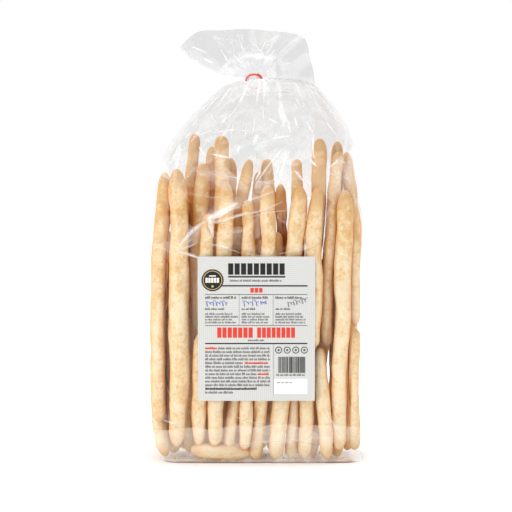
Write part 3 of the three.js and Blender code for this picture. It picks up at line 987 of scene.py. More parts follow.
def paint_crevice_shade(piece):
    """Stores how shut in each point of the sticks is, from 0 in the open to 1, as painted shade for the
    crust.
    """
    mesh = piece.data
    tree = BVHTree.FromObject(piece, bpy.context.evaluated_depsgraph_get())
    reach = CREVICE_REACH * MM
    tilts = [(0.0, 0.0)] + [(1.0, turn) for turn in CREVICE_TURNS]
    shut = np.zeros(len(mesh.vertices))
    for k, vertex in enumerate(mesh.vertices):
        normal = vertex.normal
        across = normal.orthogonal().normalized()
        beside = normal.cross(across)
        start = vertex.co + normal * CREVICE_START * MM
        total = 0.0
        for tilt, turn in tilts:
            way = normal + tilt * (math.cos(turn) * across + math.sin(turn) * beside)
            distance = tree.ray_cast(start, way.normalized(), reach)[3]
            if distance is not None:
                total += 1 - distance / reach
        x, y, z = vertex.co / MM
        # Painted shade on the inner sides of the rear sticks, strongest in the hollow behind the front
        # sticks.
        behind = smoothstep(-8, 12, y) * (1 - smoothstep(205, 232, z))
        aside = ((x - SHADED_HOLLOW[0]) / SHADED_HOLLOW_SIZE[0])**2 + ((z - SHADED_HOLLOW[1]) / SHADED_HOLLOW_SIZE[1])**2
        behind *= 1 + SHADED_HOLLOW_STRENGTH * math.exp(-aside)
        outer = smoothstep(-0.3, 0.4, normal.y)
        shut[k] = total / len(tilts) + BEHIND_SHADE * behind * (1 - outer)
    store_numbers(mesh, {"crevice": shut})


class GRISSINI_OT_sticks(bpy.types.Operator):
    """Make the upright sticks and the one that lies on the base"""

    bl_idname = "grissini.sticks"
    bl_label = "Sticks"

    def execute(self, context):
        settings = context.scene.grissini_sticks
        paths, radii = lay_out_sticks()
        bakes = [row[7] for row in STICKS]
        fallen = np.array(FALLEN_STICK, float)
        places = np.linspace(0, 1, 40)
        paths.append(np.stack([smooth(fallen[:, k], places) for k in range(3)], 1))
        radii = [*radii, FALLEN_DIAMETER / 2]
        bakes.append(FALLEN_BAKE)
        crust = make_crust(settings)
        piece = run_nodes(make_stick_nodes(), stick_skeleton(paths, radii, bakes, settings.seed), "sticks", {
            "Sides": settings.sides, "Lump Height": settings.lump_height, "Lump Size": settings.lump_size,
            "Grain Height": settings.grain_height, "Seed": settings.seed, "Material": crust})
        paint_crevice_shade(piece)
        settle(piece, "bag")
        return {"FINISHED"}


# ============================== the film


def rounded_rectangle(half_width, half_depth, corner, share):
    """Points of a rounded rectangle walked by its length, from the left end through the front."""
    radius = np.minimum(np.minimum(corner, half_depth), half_width)
    side = half_depth - radius
    front = 2 * (half_width - radius)
    arc = math.pi / 2 * radius
    walk = np.where(share > 0.5, 1 - share, share) * 2 * (2 * side + 2 * arc + front)
    near = np.clip((walk - side) / radius, 0, math.pi / 2)
    far = np.clip((walk - side - arc - front) / radius, 0, math.pi / 2)
    x = (-half_width + radius * (1 - np.cos(near)) + np.clip(walk - side - arc, 0, front)
         + radius * np.sin(far))
    y = (np.clip(walk, 0, side) + radius * np.sin(near) - radius * (1 - np.cos(far))
         - np.clip(walk - side - 2 * arc - front, 0, side))
    return x, np.where(share > 0.5, y, -y)


def body_rows(t, share):
    """Rows of the body and shoulders. t runs from 0 at the base to 1 below the neck."""
    t = t[:, None]
    left_x, left_z, right_x, right_z = level_ends(t)
    half_depth, corner, middle, lean = level_values(t, "half_depth", "corner", "middle", "lean")
    half_width = (right_x - left_x) / 2
    x, y = rounded_rectangle(half_width, half_depth, corner, share[None])
    across = (x + half_width) / (2 * half_width)
    lean = np.radians(lean)
    return np.stack([(left_x + right_x) / 2 + x, y * np.cos(lean) + middle,
                     left_z + (right_z - left_z) * across - y * np.sin(lean)], 2)


def neck_rows(along, share):
    """Rows of the gathered neck. along runs from 0 to 1 on its axis, and past 1 beyond its end."""
    turn = 2 * math.pi * share[None, :, None]
    centre = NECK_CENTRE + (along[:, None, None] - 0.5) * NECK_LENGTH * NECK_AXIS
    return (centre - NECK_RADIUS * np.cos(turn) * np.array([1.0, 0, 0])
            + NECK_RADIUS * np.sin(turn) * NECK_FRONT)


def tail_rows(out, share):
    """Rows of the fan. out runs from 0 at the neck to 1 at the rim."""
    out = out[:, None]
    share = share[None]
    on_front = share <= 0.5
    across = np.where(on_front, share * 2, 2 - share * 2)
    angle = smooth(TAIL_ANGLES, across)
    reach = NECK_RADIUS + (smooth(TAIL_REACH, across) - NECK_RADIUS) * out
    edge = np.sin(math.pi * across)
    pleat = np.sin(2 * math.pi * TAIL_PLEATS * across + np.where(on_front, 0, 0.6) + 0.9 * np.sin(5 * across))
    thickness = TAIL_HALF_THICKNESS * (0.15 + 0.85 * np.sqrt(edge))
    depth = (TAIL_BACK * smoothstep(0, 0.5, out) + TAIL_RIGHT_BACK * across * out
             + np.where(on_front, -1, 1) * thickness + 0.8 * out * pleat * edge)
    sag = TAIL_SAG * np.sin(math.pi * out**0.9)**0.5 * (1 - smoothstep(0, 0.3, across))
    fan = np.stack(np.broadcast_arrays(
        NECK_CENTRE[0] + reach * np.cos(angle), NECK_CENTRE[1] + depth,
        NECK_CENTRE[2] + TAIL_RISE + reach * np.sin(angle) - sag), 2)
    gathered = neck_rows(1 + out[:, 0] * 2, share[0])
    return gathered + (fan - gathered) * smoothstep(0, TAIL_SPREAD, out)[..., None]


def even_rows(rows_at, count):
    """Rows spaced evenly along the film."""
    t = np.linspace(0, 1, 400)
    rows = rows_at(t)
    steps = np.linalg.norm(np.diff(rows, axis=0), axis=2).mean(1)
    walked = np.concatenate([[0], np.cumsum(steps)])
    return rows_at(np.interp(np.linspace(0, walked[-1], count), walked, t))


def film_rows():
    """The smooth film, row by row: across the base, up the body, through the neck and out to the rim."""
    body = even_rows(lambda t: body_rows(t, RING_SHARES), BODY_ROWS + 1)
    foot = body[0]
    across = np.clip(foot[:, 0], -50, 50)
    spine = np.stack([across, 0 * across, 0 * across], 1)
    inward = np.linspace(1, 0, BASE_ROWS, endpoint=False)[:, None, None]
    base = foot[None] + (spine - foot)[None] * inward * 0.98
    neck = neck_rows(np.linspace(0, 1, NECK_ROWS), RING_SHARES)
    tail = even_rows(lambda t: tail_rows(t, RING_SHARES), TAIL_ROWS + 1)[1:]
    return np.concatenate([base, body, neck, tail])


def grid_normals(rows):
    """Outward normals of a closed grid of rows."""
    around = np.roll(rows, -1, axis=1) - np.roll(rows, 1, axis=1)
    along = np.gradient(rows, axis=0)
    normal = np.cross(around, along)
    return normal / np.maximum(np.linalg.norm(normal, axis=2, keepdims=True), 1e-9)


class FilmPlaces:
    """Where each point of the smooth film is, and which part of the bag it is on."""

    def __init__(self, rows):
        self.x, self.y, self.z = np.moveaxis(rows, 2, 0)
        steps = np.linalg.norm(np.diff(rows, axis=0), axis=2).mean(1)
        along = np.concatenate([[0], np.cumsum(steps)])
        self.round_mm, self.along_mm = np.meshgrid(RING_SHARES * FILM_LENGTH_ROUND, along)
        self.row = np.arange(len(rows))[:, None] + 0 * self.z
        self.on_body = self.row < FIRST_NECK_ROW
        self.loose = smoothstep(*LOOSE, self.z) * self.on_body
        self.near_neck = smoothstep(*NEAR_NECK, self.z) * self.on_body


def crumple(place, cell, seed):
    """The height, from -1 to 1, of a sheet that is crumpled into flat triangular facets."""
    rng = np.random.default_rng(seed)
    length = place.along_mm.max()
    count = int(FILM_LENGTH_ROUND * length / cell**2)
    points = rng.uniform((0, 0), (FILM_LENGTH_ROUND, length), (count, 2))
    heights = np.tile(rng.uniform(-1, 1, count), 3)
    spread = np.concatenate([points + (shift, 0) for shift in (-FILM_LENGTH_ROUND, 0, FILM_LENGTH_ROUND)])
    keep = (spread[:, 0] > -3 * cell) & (spread[:, 0] < FILM_LENGTH_ROUND + 3 * cell)
    left, right = -4 * cell, FILM_LENGTH_ROUND + 4 * cell
    margin = [[left, -cell], [right, -cell], [right, length + cell], [left, length + cell]]
    spread = np.concatenate([spread[keep], margin])
    heights = np.concatenate([heights[keep], np.zeros(len(margin))])
    flat, _edges, faces, *_rest = delaunay_2d_cdt([Vector(p) for p in spread.tolist()], [], [], 0, TINY)
    sheet = BVHTree.FromPolygons([(p.x, p.y, h) for p, h in zip(flat, heights.tolist())], faces)
    result = np.zeros(place.z.shape)
    above, down = 9.0, Vector((0, 0, -1))
    for k, (a, b) in enumerate(zip(place.round_mm.ravel().tolist(), place.along_mm.ravel().tolist())):
        hit = sheet.ray_cast(Vector((a, b, above)), down)[0]
        if hit is not None:
            result.flat[k] = hit.z
    return result


def room_inside(rows, normals, sticks):
    """How far each point of the film can move in before it touches a stick. It is less than 0 inside one."""
    tree = BVHTree.FromObject(sticks, bpy.context.evaluated_depsgraph_get())
    start = 6.0
    room = np.full(rows.shape[:2], FARTHEST_IN)
    flat_rows = (rows + normals * start).reshape(-1, 3) * MM
    flat_normals = -normals.reshape(-1, 3)
    for k, (point, way) in enumerate(zip(flat_rows.tolist(), flat_normals.tolist())):
        hit = tree.ray_cast(Vector(point), Vector(way), (start + FARTHEST_IN) * MM)
        if hit[0] is not None:
            room.flat[k] = hit[3] / MM - start - FILM_CLEARANCE
    return room


def blurred(values, times, limit=None):
    """values evened out between neighbours, and kept under limit."""
    for _step in range(times):
        beside = (np.roll(values, 1, axis=1) + np.roll(values, -1, axis=1)) / 2
        padded = np.concatenate([values[:1], values, values[-1:]])
        above = (padded[:-2] + padded[2:]) / 2
        values = values * 0.3 + beside * 0.4 + above * 0.3
        if limit is not None:
            values = np.minimum(values, limit)
    return values


# Broad folds on the front: start (x, z), end (x, z), half width and height in mm, and haze that is partly
# painted highlight.
FRONT_FOLDS = [
    ((-44, 226), (24, 216), 2.4, 1.6, 0.05),
    ((-78, 216), (-54, 211), 2.0, 1.3, 0.04),
    ((-54, 211), (-22, 206), 2.0, 1.3, 0.04),
    ((-40, 188), (-12, 202), 5.5, 3.4, 0.35),
    ((-12, 202), (14, 212), 3.0, 1.6, 0.12),
    ((-40, 188), (-62, 168), 3.4, 2.0, 0.15),
    ((-62, 166), (-44, 160), 2.0, 1.5, 0.1),
    ((-34, 170), (12, 166), 2.6, 1.3, 0.06),
    ((12, 166), (44, 170), 2.2, 1.0, 0.04),
    ((20, 245), (-3, 214), 3.2, 1.0, 0.08),
    ((24, 246), (16, 212), 3.2, 0.8, 0.05),
    ((70, 226), (80, 190), 2.6, 1.6, 0.1),
    ((52, 40), (66, 20), 2.0, 1.1, 0.08),
]


def front_folds(place):
    """How far the broad front folds lift the film, and the haze along them, which is partly painted
    highlight.
    """
    height, haze = np.zeros(place.z.shape), np.zeros(place.z.shape)
    for start, end, half_width, lift, white in FRONT_FOLDS:
        run = np.array(end, float) - start
        length = np.linalg.norm(run)
        ahead = ((place.x - start[0]) * run[0] + (place.z - start[1]) * run[1]) / length
        aside = ((place.x - start[0]) * run[1] - (place.z - start[1]) * run[0]) / length
        slope = np.where(aside > 0, half_width * 0.5, half_width * 1.5)
        ridge = np.clip(1 - np.abs(aside) / slope, 0, 1)
        fade = np.clip(ahead / length * 5 + 0.4, 0, 1) * np.clip((1 - ahead / length) * 5 + 0.4, 0, 1)
        height = np.maximum(height, lift * ridge * fade)
        haze = np.maximum(haze, white * np.clip(ridge * 1.6, 0, 1) * fade)
    on_front = place.y < 0
    return np.where(on_front, height, 0), np.where(on_front, haze, 0)


def behind_label(place):
    """1 where the label lies on the film, and 0 away from it."""
    inside = 1.0
    for value, low, high in ((place.x, LABEL_LOW.x, LABEL_HIGH.x), (place.z, LABEL_LOW.z, LABEL_HIGH.z)):
        inside = inside * (smoothstep(low - LABEL_MARGIN, low, value)
                           * (1 - smoothstep(high, high + LABEL_MARGIN, value)))
    return np.where(place.y < 0, inside, 0)


def film_relief(settings, place):
    """How far the crumpled flats stand out."""
    cell = settings.facet_size / MM
    coarse = crumple(place, cell, settings.seed)
    fine = crumple(place, cell * FINE_SIZE, settings.seed + 1)
    on_tail = smoothstep(FIRST_TAIL_ROW, FIRST_TAIL_ROW + 14, place.row)
    body = (DRAWN_RELIEF + (1 - DRAWN_RELIEF) * place.loose) * (1 - NECK_CALM * place.near_neck)
    amount = np.where(place.on_body, body, TAIL_RELIEF * on_tail)
    return amount * settings.facet_height / MM * (coarse + FINE_RELIEF * fine)


def film_pleats(settings, place):
    """How deep the pleats are that run up the shoulders into the neck, and out over the fan."""
    turn = 2 * math.pi * RING_SHARES
    wobble = 0.006 * np.sin(3 * turn + 1) + 0.004 * np.sin(8 * turn + 2)
    drift = 0.004 * np.sin(place.along_mm / 19)
    narrow = zigzag(NARROW_PLEATS * (RING_SHARES + wobble + drift))
    wide = zigzag(WIDE_PLEATS * (RING_SHARES - wobble) + 0.3)
    shoulder = smoothstep(*SHOULDER_PLEATS, place.z)
    past_neck = smoothstep(FIRST_TAIL_ROW, FIRST_TAIL_ROW + 6, place.row)
    on_fan = past_neck * (1 - smoothstep(FIRST_TAIL_ROW + 4, FIRST_TAIL_ROW + 22, place.row))
    body = shoulder * (0.5 * wide + 0.25 * narrow * smoothstep(255, 290, place.z))
    above = narrow * (0.45 * (1 - past_neck) + 0.2 * on_fan)
    return settings.pleat_depth / MM * np.where(place.on_body, body, above)


def film_looks(place, shaped, relief, fold_haze_and_highlight):
    """What the film's material reads at each point: its haze, crumpling, looseness and the painted shade of
    its lower edge.
    """
    bend = np.minimum(np.abs(relief - blurred(relief, 2)), 0.35)
    hem = HEM_HEIGHT + 2.5 * np.sin(place.x / 19) - 0.05 * place.x
    doubled = (smoothstep(-0.8, 0.8, place.z - hem) * smoothstep(*HEM_SIDES, -place.y)
               * (1 - smoothstep(240, 275, place.z)))
    over_tie = smoothstep(285, 291, place.z) * (1 - smoothstep(7, 13, np.abs(place.x - NECK_CENTRE[0])))
    veil = (0.001 + (0.01 + 0.23 * place.loose) * bend + 0.03 * place.near_neck
            + 0.55 * over_tie * place.on_body + 0.09 * doubled + fold_haze_and_highlight)
    busy = np.maximum(smoothstep(150, 175, place.z), 0.35 * (1 - smoothstep(30, 55, place.z)))
    # Painted shade along the bottom of the film, beneath the sticks.
    under = (1 - smoothstep(0.4, 1.5, shaped[..., 2])) * smoothstep(20, 25, -shaped[..., 1])
    return {"veil": veil, "busy": np.where(place.on_body, 0.06 + 0.94 * busy, 1.0), "under": under,
            "loose": np.where(place.on_body, place.loose, 1.0)}


def shape_film(settings, sticks):
    """The finished film in mm and its looks: drawn over the sticks, crumpled, pleated and folded."""
    rows = film_rows()
    normals = grid_normals(rows)
    place = FilmPlaces(rows)
    relief = film_relief(settings, place)
    fold_height, fold_haze_and_highlight = front_folds(place)
    room = np.where(place.on_body, room_inside(rows, normals, sticks), FARTHEST_IN)
    drawn = np.where(place.on_body, 1 - smoothstep(*DRAWN_TO, place.z), 0)
    hug = blurred(np.minimum(room, DRAWN_IN * drawn), DRAWN_STEPS, room)
    label = behind_label(place)
    inward = hug * drawn - relief + film_pleats(settings, place) - fold_height
    inward = inward * (1 - label) + np.maximum(hug * LABEL_DRAWN, 0) * label
    inward = np.maximum(np.minimum(inward, room), -FARTHEST_OUT * (1 - label))
    inward = inward * smoothstep(BASE_ROWS - 1, BASE_ROWS + 4, place.row)
    shaped = rows - normals * inward[..., None]
    shaped[..., 2] = np.maximum(shaped[..., 2], FILM_LOWEST)
    return shaped, normals, film_looks(place, shaped, relief, fold_haze_and_highlight)


def ring_faces(count, points):
    """Quads between rings of points that close round."""
    index = np.arange(count * points).reshape(count, points)
    beside = np.roll(index, -1, axis=1)
    quads = np.stack([index[:-1], beside[:-1], beside[1:], index[1:]], 2)
    return quads.reshape(-1, 4).tolist()


def base_faces():
    """A strip that closes the first row across the base."""
    half = RING_POINTS // 2
    return [[(RING_POINTS - i) % RING_POINTS, RING_POINTS - i - 1, i + 1, i] for i in range(1, half - 1)] + [
        [RING_POINTS - 1, 1, 0], [half + 1, half, half - 1]]


# Sharp folds on the front: start (x, z), end (x, z), width in mm, haze that is partly painted highlight, and
# darkness of the line beside, which is painted shade.
SHARP_FOLDS = [
    ((-44, 226), (-6, 220), 1.3, 0.35, 0.5), ((-6, 220), (24, 216), 1.2, 0.3, 0.6),
    ((-79, 216), (-52, 210), 1.2, 0.15, 0.5), ((-52, 210), (-20, 206), 1.2, 0.2, 0.5),
    ((-39, 191), (-15, 203), 4.2, 0.62, 0.5), ((-37, 188), (-24, 190.5), 2.2, 0.4, 0.6),
    ((-36, 194), (-33.5, 177), 3.4, 0.5, 0.6), ((-30, 187), (-4, 196), 2.0, 0.4, 0.4),
    ((-12, 203), (16, 213), 1.6, 0.35, 0.5), ((-18, 192), (20, 204), 1.4, 0.3, 0.5),
    ((-10, 190), (24, 197), 1.2, 0.25, 0.4), ((-40, 189), (-60, 170), 2.6, 0.5, 0.3),
    ((-62, 166), (-42, 160), 1.8, 0.45, 0.3), ((-62, 166), (-46, 172), 1.4, 0.4, 0.3),
    ((-40, 172), (-12, 164), 1.3, 0.3, 0.4), ((-12, 164), (14, 162), 1.2, 0.25, 0.5),
    ((14, 164), (46, 170), 1.2, 0.2, 0.4), ((21, 246), (-3, 214), 1.8, 0.4, 0.1),
    ((22, 246), (4, 216), 1.0, 0.2, 0.1), ((24, 244), (10, 214), 1.2, 0.3, 0.1),
    ((25, 246), (17, 212), 1.4, 0.2, 0.1), ((30, 240), (24, 216), 1.0, 0.25, 0.1),
    ((37, 266), (43, 255), 1.0, 0.8, 0.2), ((43, 255), (43.5, 236), 1.5, 0.9, 0.2),
    ((40, 236), (46, 230), 2.4, 0.9, 0.1), ((7, 268), (16, 263), 1.3, 0.9, 0.1),
    ((28, 269), (32, 259), 1.2, 0.85, 0.2), ((-33, 256), (-13, 259), 1.5, 0.4, 0.2),
    ((-13, 258), (-6, 257), 1.0, 0.6, 0.1), ((-35, 240), (-21, 237), 2.2, 0.95, 0.1),
    ((-16, 242), (-14, 246), 2.4, 0.9, 0.1), ((9, 251), (26, 254), 1.6, 0.85, 0.1),
    ((-28, 263), (-24, 268), 1.8, 0.85, 0.1), ((-47, 254), (-36, 258), 1.2, 0.7, 0.1),
    ((-45, 246), (-40, 238), 2.0, 0.7, 0.1), ((-37, 272), (-30, 262), 0.9, 0.4, 0.1),
    ((52, 266), (62, 253), 0.9, 0.6, 0.2), ((28, 228), (36, 218), 2.6, 0.7, 0.1),
    ((3, 227), (-2, 219), 2.0, 0.7, 0.1), ((-8, 262), (-10, 250), 1.0, 0.5, 0.1),
    ((-18, 265), (-20, 250), 0.9, 0.4, 0.1), ((-2, 268), (-4, 254), 0.9, 0.35, 0.1),
    ((4, 278), (5, 264), 0.9, 0.35, 0.1), ((-14, 278), (-24, 266), 0.9, 0.35, 0.1),
    ((66, 240), (60, 216), 1.0, 0.3, 0.1), ((72, 222), (78, 196), 1.2, 0.4, 0.3),
    ((-20, 38), (4, 31), 1.0, 0.25, 0.4), ((-12, 14), (20, 18), 1.0, 0.3, 0.5),
    ((20, 18), (48, 14), 1.0, 0.25, 0.5), ((50, 44), (66, 20), 1.4, 0.3, 0.3),
    ((-74, 34), (-58, 30), 1.4, 0.4, 0.3), ((-70, 60), (-64, 40), 1.0, 0.2, 0.3),
    ((-52, 322), (-38, 316), 1.4, 0.7, 0.1), ((-42, 313), (-34, 309), 2.0, 0.8, 0.1),
    ((-30, 322), (-20, 306), 1.0, 0.5, 0.1), ((-6, 326), (6, 314), 1.2, 0.7, 0.1),
    ((8, 328), (2, 316), 1.0, 0.6, 0.1), ((14, 320), (4, 308), 1.0, 0.5, 0.1),
    ((-20, 318), (-8, 304), 1.0, 0.5, 0.1), ((24, 312), (6, 301), 0.9, 0.4, 0.1),
]
UPPER_FOLDS = 205  # above this height those folds are finer, and the strong ones clearer
FINER = 0.68
FINEST = 0.7
STRONG = 0.6
CLEARER = 0.8
FAN_FOLDS = 18  # how many random folds there are on each part
SHOULDER_FOLDS = 50
BACK_FOLDS = 60
FOLD_STEP = 2.0  # between two rows of a fold, in mm
FOLD_BOW = 0.04  # of a fold's length, at most
FOLD_LIFT = 0.08  # of a fold's edges off the film
STEEPEST_ALONG = 4.0  # how far the film may fall away under a fold between two rows
STEEPEST_ACROSS = 3.0


def sharp_folds(rng):
    """Every sharp fold: those above, and random ones on the fan, the shoulders and the back."""
    folds = []
    for start, end, width, white, fold_shade in SHARP_FOLDS:
        if (start[1] + end[1]) / 2 > UPPER_FOLDS:
            width = max(width * FINER, FINEST)
            white *= CLEARER if white >= STRONG else 1
        folds.append((start, end, width, white, fold_shade, True))
    neck = NECK_CENTRE[[0, 2]]
    for k in range(FAN_FOLDS):
        angle = rng.uniform(10, 150)
        reach = rng.uniform(14, 40)
        way = np.array([math.cos(math.radians(angle)), math.sin(math.radians(angle))])
        start = neck + way * reach
        turn = rng.uniform(-0.5, 0.5)
        end = start + (way + turn * np.array([-way[1], way[0]])) * rng.uniform(5, 16)
        folds.append((start, end, rng.uniform(0.5, 1.0), rng.uniform(0.1, 0.35), 0.0, k % 3 == 0))
    for k in range(SHOULDER_FOLDS):
        start = np.array([rng.uniform(-70, 70), rng.uniform(190, 284)])
        way = start - neck + rng.uniform(-45, 45, 2)
        end = start + way / np.linalg.norm(way) * rng.uniform(5, 22)
        folds.append((start, end, rng.uniform(0.5, 1.0), rng.uniform(0.1, 0.35), 0.1, k % 5 == 0))
    for _k in range(BACK_FOLDS):
        start = np.array([rng.uniform(-78, 78), rng.uniform(15, 190)])
        turn = rng.uniform(0, 2 * math.pi)
        end = start + rng.uniform(6, 30) * np.array([math.cos(turn), math.sin(turn)])
        folds.append((start, end, rng.uniform(0.8, 2.0), rng.uniform(0.1, 0.4), 0.3, False))
    return folds


def fold_strip(tree, start, end, width, bow, front):
    """Rows of four points of a spindle-shaped fold on the film, or None where the film isn't even enough."""
    start, end = np.array(start, float), np.array(end, float)
    run = end - start
    length = np.linalg.norm(run)
    side = np.array([run[1], -run[0]]) / length
    stations = max(int(length / FOLD_STEP), 5)
    sign = -1.0 if front else 1.0
    rows = []
    for share in np.linspace(0, 1, stations):
        half = width * (0.04 + 0.96 * math.sin(math.pi * share)**0.8) / 2
        middle = start + run * share + side * bow * FOLD_BOW * length * math.sin(math.pi * share)
        row = []
        crest = 0.12 + 0.25 * half
        for offset, lift in ((-1.0, FOLD_LIFT), (0.0, crest), (1.0, FOLD_LIFT), (2.2, FOLD_LIFT)):
            x, z = middle + side * offset * half
            hit = tree.ray_cast(Vector((x * MM, sign * 0.08, z * MM)), Vector((0, -sign, 0)))[0]
            if hit is None:
                return None
            row.append((x, hit.y / MM + sign * lift, z))
        rows.append(row)
    rows = np.array(rows)
    y = rows[..., 1]
    if np.abs(np.diff(y, axis=0)).max() > STEEPEST_ALONG or np.ptp(y, axis=1).max() > STEEPEST_ACROSS:
        return None
    return rows


class GRISSINI_OT_film(bpy.types.Operator):
    """Make the film bag round the sticks, and the flap of its folded base"""

    bl_idname = "grissini.film"
    bl_label = "Film"

    def execute(self, context):
        settings = context.scene.grissini_film
        sticks = bpy.data.objects["sticks"]
        shaped, normals, values = shape_film(settings, sticks)
        film = new_piece("film", shaped.reshape(-1, 3), ring_faces(len(shaped), RING_POINTS) + base_faces(),
                         make_film("clear_film", settings), {key: v.ravel() for key, v in values.items()})
        settle(film, "bag")
        self.make_flap(settings, shaped, normals)
        self.make_folds(settings, film)
        return {"FINISHED"}

    def make_folds(self, settings, film):
        """Thin sharp folds laid on the film, front and back: milky as haze and painted highlight, with
        painted shade beside one edge.
        """
        tree = BVHTree.FromObject(film, bpy.context.evaluated_depsgraph_get())
        rng = np.random.default_rng(settings.seed + 2)
        points, faces = [], []
        values = {"veil": [], "line": []}
        for start, end, width, white, fold_shade, front in sharp_folds(rng):
            # Less painted shade beside the folds high up.
            fold_shade *= 1 - 0.8 * smoothstep(222, 245, start[1])
            strip = fold_strip(tree, start, end, width, rng.uniform(-1, 1), front)
            if strip is None:
                continue
            first = len(points)
            points.extend(strip.reshape(-1, 3))
            stations = len(strip)
            for k in range(stations - 1):
                for column in range(3):
                    corner = first + 4 * k + column
                    quad = [corner, corner + 1, corner + 5, corner + 4]
                    faces.append(quad if front else quad[::-1])
            # A milky crest as haze and painted highlight, and painted shade beside one edge.
            values["veil"].extend([0.3 * white, white, white, 0.0] * stations)
            values["line"].extend([0.0, 0.0, fold_shade, fold_shade] * stations)
        folds = new_piece("film_folds", points, faces, make_fold_film(settings), values)
        settle(folds, "bag")

    def make_flap(self, settings, shaped, normals):
        """The second layer of film that the folded base brings up over the front."""
        columns = np.flatnonzero((RING_SHARES > FLAP_ENDS[0]) & (RING_SHARES < FLAP_ENDS[1]))
        under_hem = shaped[BASE_ROWS:BASE_ROWS + FLAP_FILM_ROWS]
        x = shaped[FLAP_MIDDLE_ROW, columns, 0]
        hem = FLAP_HEIGHT + 3.2 * np.abs(np.sin(x / 14 + 0.9 * np.sin(x / 31))) + 2.5 * np.sin(x / 41 + 1)
        rows = []
        for level in np.linspace(0.02, 1, FLAP_ROWS):
            row = []
            for k, height in zip(columns, hem * level):
                point = np.array([np.interp(height, under_hem[:, k, 2], under_hem[:, k, axis])
                                  for axis in range(3)])
                row.append(point + normals[FLAP_MIDDLE_ROW, k] * (FLAP_LIFT + 0.25 * level))
            rows.append(row)
        points = np.array(rows)
        points[..., 2] = np.maximum(points[..., 2], FILM_LOWEST)
        width = len(columns)
        faces = [[r * width + c, r * width + c + 1, (r + 1) * width + c + 1, (r + 1) * width + c]
                 for r in range(FLAP_ROWS - 1) for c in range(width - 1)]
        folded = 13 + 3 * np.sin(points[..., 0] / 33) + points[..., 0] * 0.03
        veil = (0.02 + 0.2 * smoothstep(-1.2, 1.2, points[..., 2] - folded)).ravel()
        same = np.ones(veil.size)
        values = {"veil": veil, "busy": 0.2 * same, "loose": 0 * same, "under": 0 * same}
        flap = new_piece("base_flap", points.reshape(-1, 3), faces, make_film("flap_film", settings, 0.3),
                         values)
        settle(flap, "bag")


# ============================== the label


def label_point(across, down, lift=0.0):
    """The place on the label's slightly wavy sheet, across and down in mm from its top left corner."""
    wave = 0.16 * np.sin(across / 17 + 0.4) * np.sin(down / 29 + 1.1) + 0.09 * np.sin(down / 11 + across / 37)
    y = LABEL_LOW.y - LABEL_LIFT + wave - lift
    return np.stack([LABEL_LOW.x + across, y, LABEL_HIGH.z - down], -1)


def sheet_grid(left, top, right, bottom, step, lift):
    """Points and quads of a flat patch that follows the label."""
    columns = max(int(math.ceil((right - left) / step)), 1) + 1
    rows = max(int(math.ceil((bottom - top) / step)), 1) + 1
    across, down = np.meshgrid(np.linspace(left, right, columns), np.linspace(top, bottom, rows))
    index = np.arange(rows * columns).reshape(rows, columns)
    faces = np.stack([index[1:, :-1], index[1:, 1:], index[:-1, 1:], index[:-1, :-1]], 2)
    return label_point(across.ravel(), down.ravel(), lift), faces.reshape(-1, 4)


def disc_patch(centre, inner, outer):
    """Points and faces of a ring or a disc on the label."""
    angles = np.linspace(0, 2 * math.pi, DISC_SIDES + 1)
    rings = [label_point(centre[0] + radius * np.cos(angles), centre[1] + radius * np.sin(angles), PRINT_LIFT)
             for radius in (inner, outer)]
    k = np.arange(DISC_SIDES)
    return np.concatenate(rings), np.stack([k, k + 1, k + DISC_SIDES + 2, k + DISC_SIDES + 1], 1)


def stroke_patch(stations, width):
    """Points and faces of a pen stroke through stations, in label mm."""
    stations = np.asarray(stations, float)
    t = np.linspace(0, 1, len(stations) * 7)
    path = np.stack([smooth(stations[:, 0], t), smooth(stations[:, 1], t)], 1)
    along = np.gradient(path, axis=0)
    along /= np.maximum(np.linalg.norm(along, axis=1, keepdims=True), TINY)
    side = np.stack([along[:, 1], -along[:, 0]], 1) * width / 2
    both = np.concatenate([path + side, path - side])
    k = np.arange(len(path) - 1)
    faces = np.stack([k + len(path), k + len(path) + 1, k + 1, k], 1)
    return label_point(both[:, 0], both[:, 1], PRINT_LIFT), faces


def small_print(rng, left, right, top, height, longest=7.0):
    """Short upright strokes in groups of random lengths, which stand for a line of small print."""
    strokes = []
    x = left
    while x < right - WORD_GAP:
        word_end = min(x + rng.uniform(1.6, longest), right)
        while x < word_end - 0.3:
            width = rng.uniform(0.28, 0.5)
            upper = top if rng.uniform() < 0.3 else top + 0.3 * height
            strokes.append((x, upper, x + width, top + height))
            x += width + STROKE_GAP
        x += WORD_GAP
    return strokes


def title_blocks(left, right, top, bottom, count):
    """Plain upright blocks that stand for one large word."""
    pitch = (right - left) / count
    return [(left + k * pitch, top, left + (k + 0.8) * pitch, bottom) for k in range(count)]


